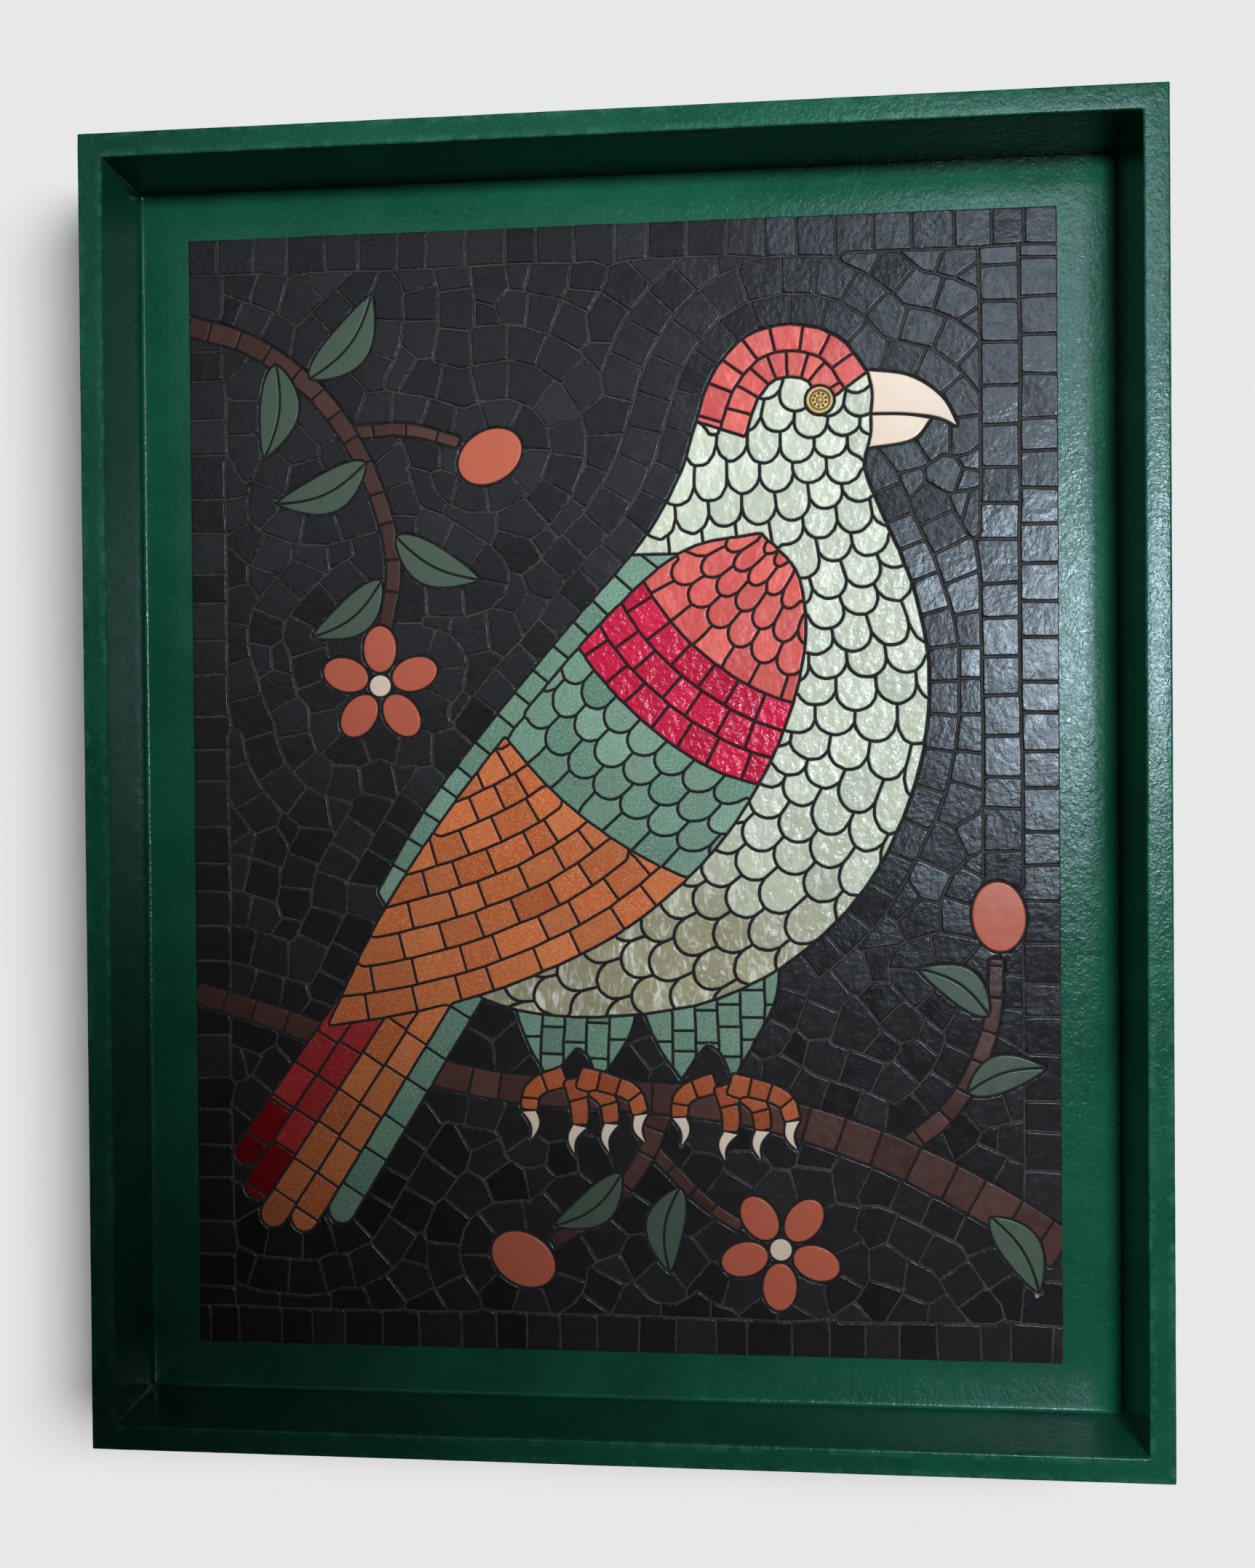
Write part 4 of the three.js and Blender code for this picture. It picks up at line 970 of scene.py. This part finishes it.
# ================================================================ brass button eye
def button():
    e_lo, e_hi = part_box("eye_button"); R = (e_hi[0]-e_lo[0])/2/MM; H = (e_hi[1]-e_lo[1])/MM
    prof = lambda r: np.interp(r, [0,.55,.95,1.25,1.6,2.0,3.15,3.6,3.95,4.35,4.8,5.15,R-.08,R], [H,H-.06,H-.28,H-.72,H-.82,H-.70,H-.70,H-.84,H-.86,H-.52,H-.36,H-.42,H-.75,H-1.05])
    rs = np.concatenate([np.arange(.14,R-.05,.14),[R]]); m = 96
    V = [(0,0,H)]; T = [(1,0,.6,1)]
    for q in rs:
        for k in range(m):
            a = 2*pi*k/m; hh = prof(q)
            da = ((a/(2*pi)*9)%1-.5)*2*pi/9*q; dot = np.clip(1-np.hypot(da,q-2.62)/.56,0,1); hh -= .55*min(1,dot*1.8)
            mill = 0.05*cos(a*28)*np.exp(-((q-4.75)/.45)**2)
            V.append((q*cos(a),q*sin(a),hh+mill)); T.append((1,min(1,dot*2.2)+.8*float(3.5<q<4.1)+.75*float(1.15<q<1.6),float(4.5<q<5.2),1))
    n = len(V)
    for k in range(m): a=2*pi*k/m; V.append((R*cos(a),R*sin(a),0)); T.append((1,.6,0,1))
    F = [(0,1+k,1+(k+1)%m) for k in range(m)]
    for j in range(len(rs)): 
        for k in range(m): F.append((1+j*m+k,1+(j+1)*m+k,1+(j+1)*m+(k+1)%m,1+j*m+(k+1)%m))
    F.append(tuple(n+k for k in range(m))[::-1])
    V = np.array(V); cx, cz = (e_lo[0]+e_hi[0])/2/MM, (e_lo[2]+e_hi[2])/2/MM
    W = np.column_stack([V[:,0]+cx, e_hi[1]/MM-V[:,2], V[:,1]+cz])
    ob = make("eye_button_brass", W, F, BRASS, np.clip(T,0,1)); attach(ob,"root"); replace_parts(ob,"eye_button")
    return ob
button()

# every closed piece has its faces pointing out
import bmesh
def outward(o):
    bm = bmesh.new(); bm.from_mesh(o.data)
    if bm.calc_volume(signed=True) < 0:
        bmesh.ops.reverse_faces(bm, faces=bm.faces); bm.to_mesh(o.data)
    bm.free()
for o in bpy.context.scene.objects:
    if o.type == 'MESH' and not o.get("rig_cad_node"): outward(o)

# ================================================================ camera
R_ = Matrix.Rotation(Vector((.00877,.07991,-.00792)).length, 3, Vector((.00877,.07991,-.00792)))
M_ = lambda v: Vector((v[0],v[2],-v[1]))
right_, up_, back_ = M_(R_[0]), -M_(R_[1]), -M_(R_[2])
cam_data = bpy.data.cameras.new("camera"); cam_data.lens = 30.60; cam_data.sensor_width = 36; cam_data.sensor_fit = 'AUTO'; cam_data.clip_start = .01
cam = bpy.data.objects.new("camera", cam_data); bpy.context.scene.collection.objects.link(cam)
cam.matrix_world = Matrix(((right_[0],up_[0],back_[0],.04736),(right_[1],up_[1],back_[1],-.55718),(right_[2],up_[2],back_[2],.00675),(0,0,0,1)))
bpy.context.scene.camera = cam

# ================================================================ stage and light
def plane(name, pts, mat):
    me = bpy.data.meshes.new(name); me.from_pydata(pts,[],[(0,1,2,3)]); me.materials.append(mat)
    o = bpy.data.objects.new(name,me); bpy.context.scene.collection.objects.link(o); return o
def stage_mat(name, col, glow, one_sided):
    m = bpy.data.materials.new(name); m.use_nodes = True; t = m.node_tree; t.nodes.clear()
    out = t.nodes.new("ShaderNodeOutputMaterial"); d = t.nodes.new("ShaderNodeBsdfDiffuse"); d.inputs[0].default_value = (*col,1)
    e = t.nodes.new("ShaderNodeEmission"); e.inputs[0].default_value = (1,1,1,1); e.inputs[1].default_value = glow
    add = t.nodes.new("ShaderNodeAddShader"); t.links.new(d.outputs[0],add.inputs[0]); t.links.new(e.outputs[0],add.inputs[1])
    lp = t.nodes.new("ShaderNodeLightPath"); tr = t.nodes.new("ShaderNodeBsdfTransparent"); mx = t.nodes.new("ShaderNodeMixShader")
    f = lp.outputs["Is Camera Ray"]
    if one_sided:
        g = t.nodes.new("ShaderNodeNewGeometry"); inv = t.nodes.new("ShaderNodeMath"); inv.operation='SUBTRACT'; inv.inputs[0].default_value=1; t.links.new(g.outputs["Backfacing"],inv.inputs[1])
        mu = t.nodes.new("ShaderNodeMath"); mu.operation='MULTIPLY'; t.links.new(f,mu.inputs[0]); t.links.new(inv.outputs[0],mu.inputs[1]); f = mu.outputs[0]
    t.links.new(f,mx.inputs[0]); t.links.new(tr.outputs[0],mx.inputs[1]); t.links.new(add.outputs[0],mx.inputs[2]); t.links.new(mx.outputs[0],out.inputs[0])
    return m
WALL_Y = .002
wall = plane("wall", [(-6,WALL_Y,-1.4),(6,WALL_Y,-1.4),(6,WALL_Y,5),(-6,WALL_Y,5)], stage_mat("wall_pale",(.8,.8,.8),.16,True))
floor = plane("floor", [(-6,-6,-1.4),(6,-6,-1.4),(6,6,-1.4),(-6,6,-1.4)], stage_mat("floor_pale",(.8,.8,.8),.45,False))
def linked(name, state, objs):
    c = bpy.data.collections.new(name)
    for q in objs: c.objects.link(q)
    for q in c.collection_objects: q.light_linking.link_state = state
    return c
STAGE_ONLY, OBJECT_ONLY = linked("stage_only",'INCLUDE',(wall,floor)), linked("all_but_stage",'EXCLUDE',(wall,floor))
SHEEN = linked("sheen",'EXCLUDE',(wall,floor,bpy.data.objects["rail_left_painted"]))
def lamp(name, kind, loc, target, power, color=(1,1,1), receivers=None, **kw):
    l = bpy.data.lights.new(name,kind); l.energy = power; l.color = color
    for k,v in kw.items(): setattr(l,k,v)
    o = bpy.data.objects.new(name,l); bpy.context.scene.collection.objects.link(o); o.location = loc
    o.rotation_euler = (Vector(target)-Vector(loc)).to_track_quat('-Z','Y').to_euler()
    o.light_linking.receiver_collection = receivers or OBJECT_ONLY
    return o
def key(name, aim, size, blend, power):
    k = lamp(name,'SPOT',(.33,-1.5,.37),aim, power, (1,.99,.97), spot_size=radians(size), spot_blend=blend, shadow_soft_size=.15); k.visible_glossy = False
def window(name, x, z, w, h, power, color=(.67,.84,1.0)):
    k = lamp(name,'AREA',(x,-1.5,z),(x,0,z), power, color, shape='RECTANGLE', size=w, size_y=h); k.visible_diffuse = False
    k.light_linking.receiver_collection = OBJECT_ONLY if name == "window_left" else SHEEN
key("key_right",(.25,0,0),32,.7,41); key("key_left",(-.05,0,.20),26,1.,74); key("key_low_right",(.25,0,-.25),22,1.,44); key("key_broad",(0,0,0),60,1.,4)
window("window_mid",.68,.24,.24,.24,9.6); window("window_low",.50,.05,.20,.20,2.2); window("window_high",.52,.76,.56,.34,3.6); window("window_left",-.45,.60,.8,.8,.8)
rear = lamp("back",'AREA',(-.9,2.0,.35),(0,0,0), 45, shape='RECTANGLE', size=1.2, size_y=1.2); rear.visible_glossy = False
lamp("stage_sun",'SUN',(1.95,-2.5,.75),(0,0,0), 3.25, receivers=STAGE_ONLY, angle=radians(34))
w = bpy.data.worlds.new("world"); bpy.context.scene.world = w; w.use_nodes = True; t = w.node_tree; t.nodes.clear()
o_ = t.nodes.new("ShaderNodeOutputWorld"); b1 = t.nodes.new("ShaderNodeBackground"); b2 = t.nodes.new("ShaderNodeBackground"); mx = t.nodes.new("ShaderNodeMixShader"); lp = t.nodes.new("ShaderNodeLightPath")
b1.inputs[0].default_value = (1,1,1,1); b1.inputs[1].default_value = .012; b2.inputs[0].default_value = (.815,.815,.815,1); b2.inputs[1].default_value = 1
t.links.new(lp.outputs["Is Camera Ray"],mx.inputs[0]); t.links.new(b1.outputs[0],mx.inputs[1]); t.links.new(b2.outputs[0],mx.inputs[2]); t.links.new(mx.outputs[0],o_.inputs[0])
bpy.context.scene.view_settings.view_transform = 'Standard'
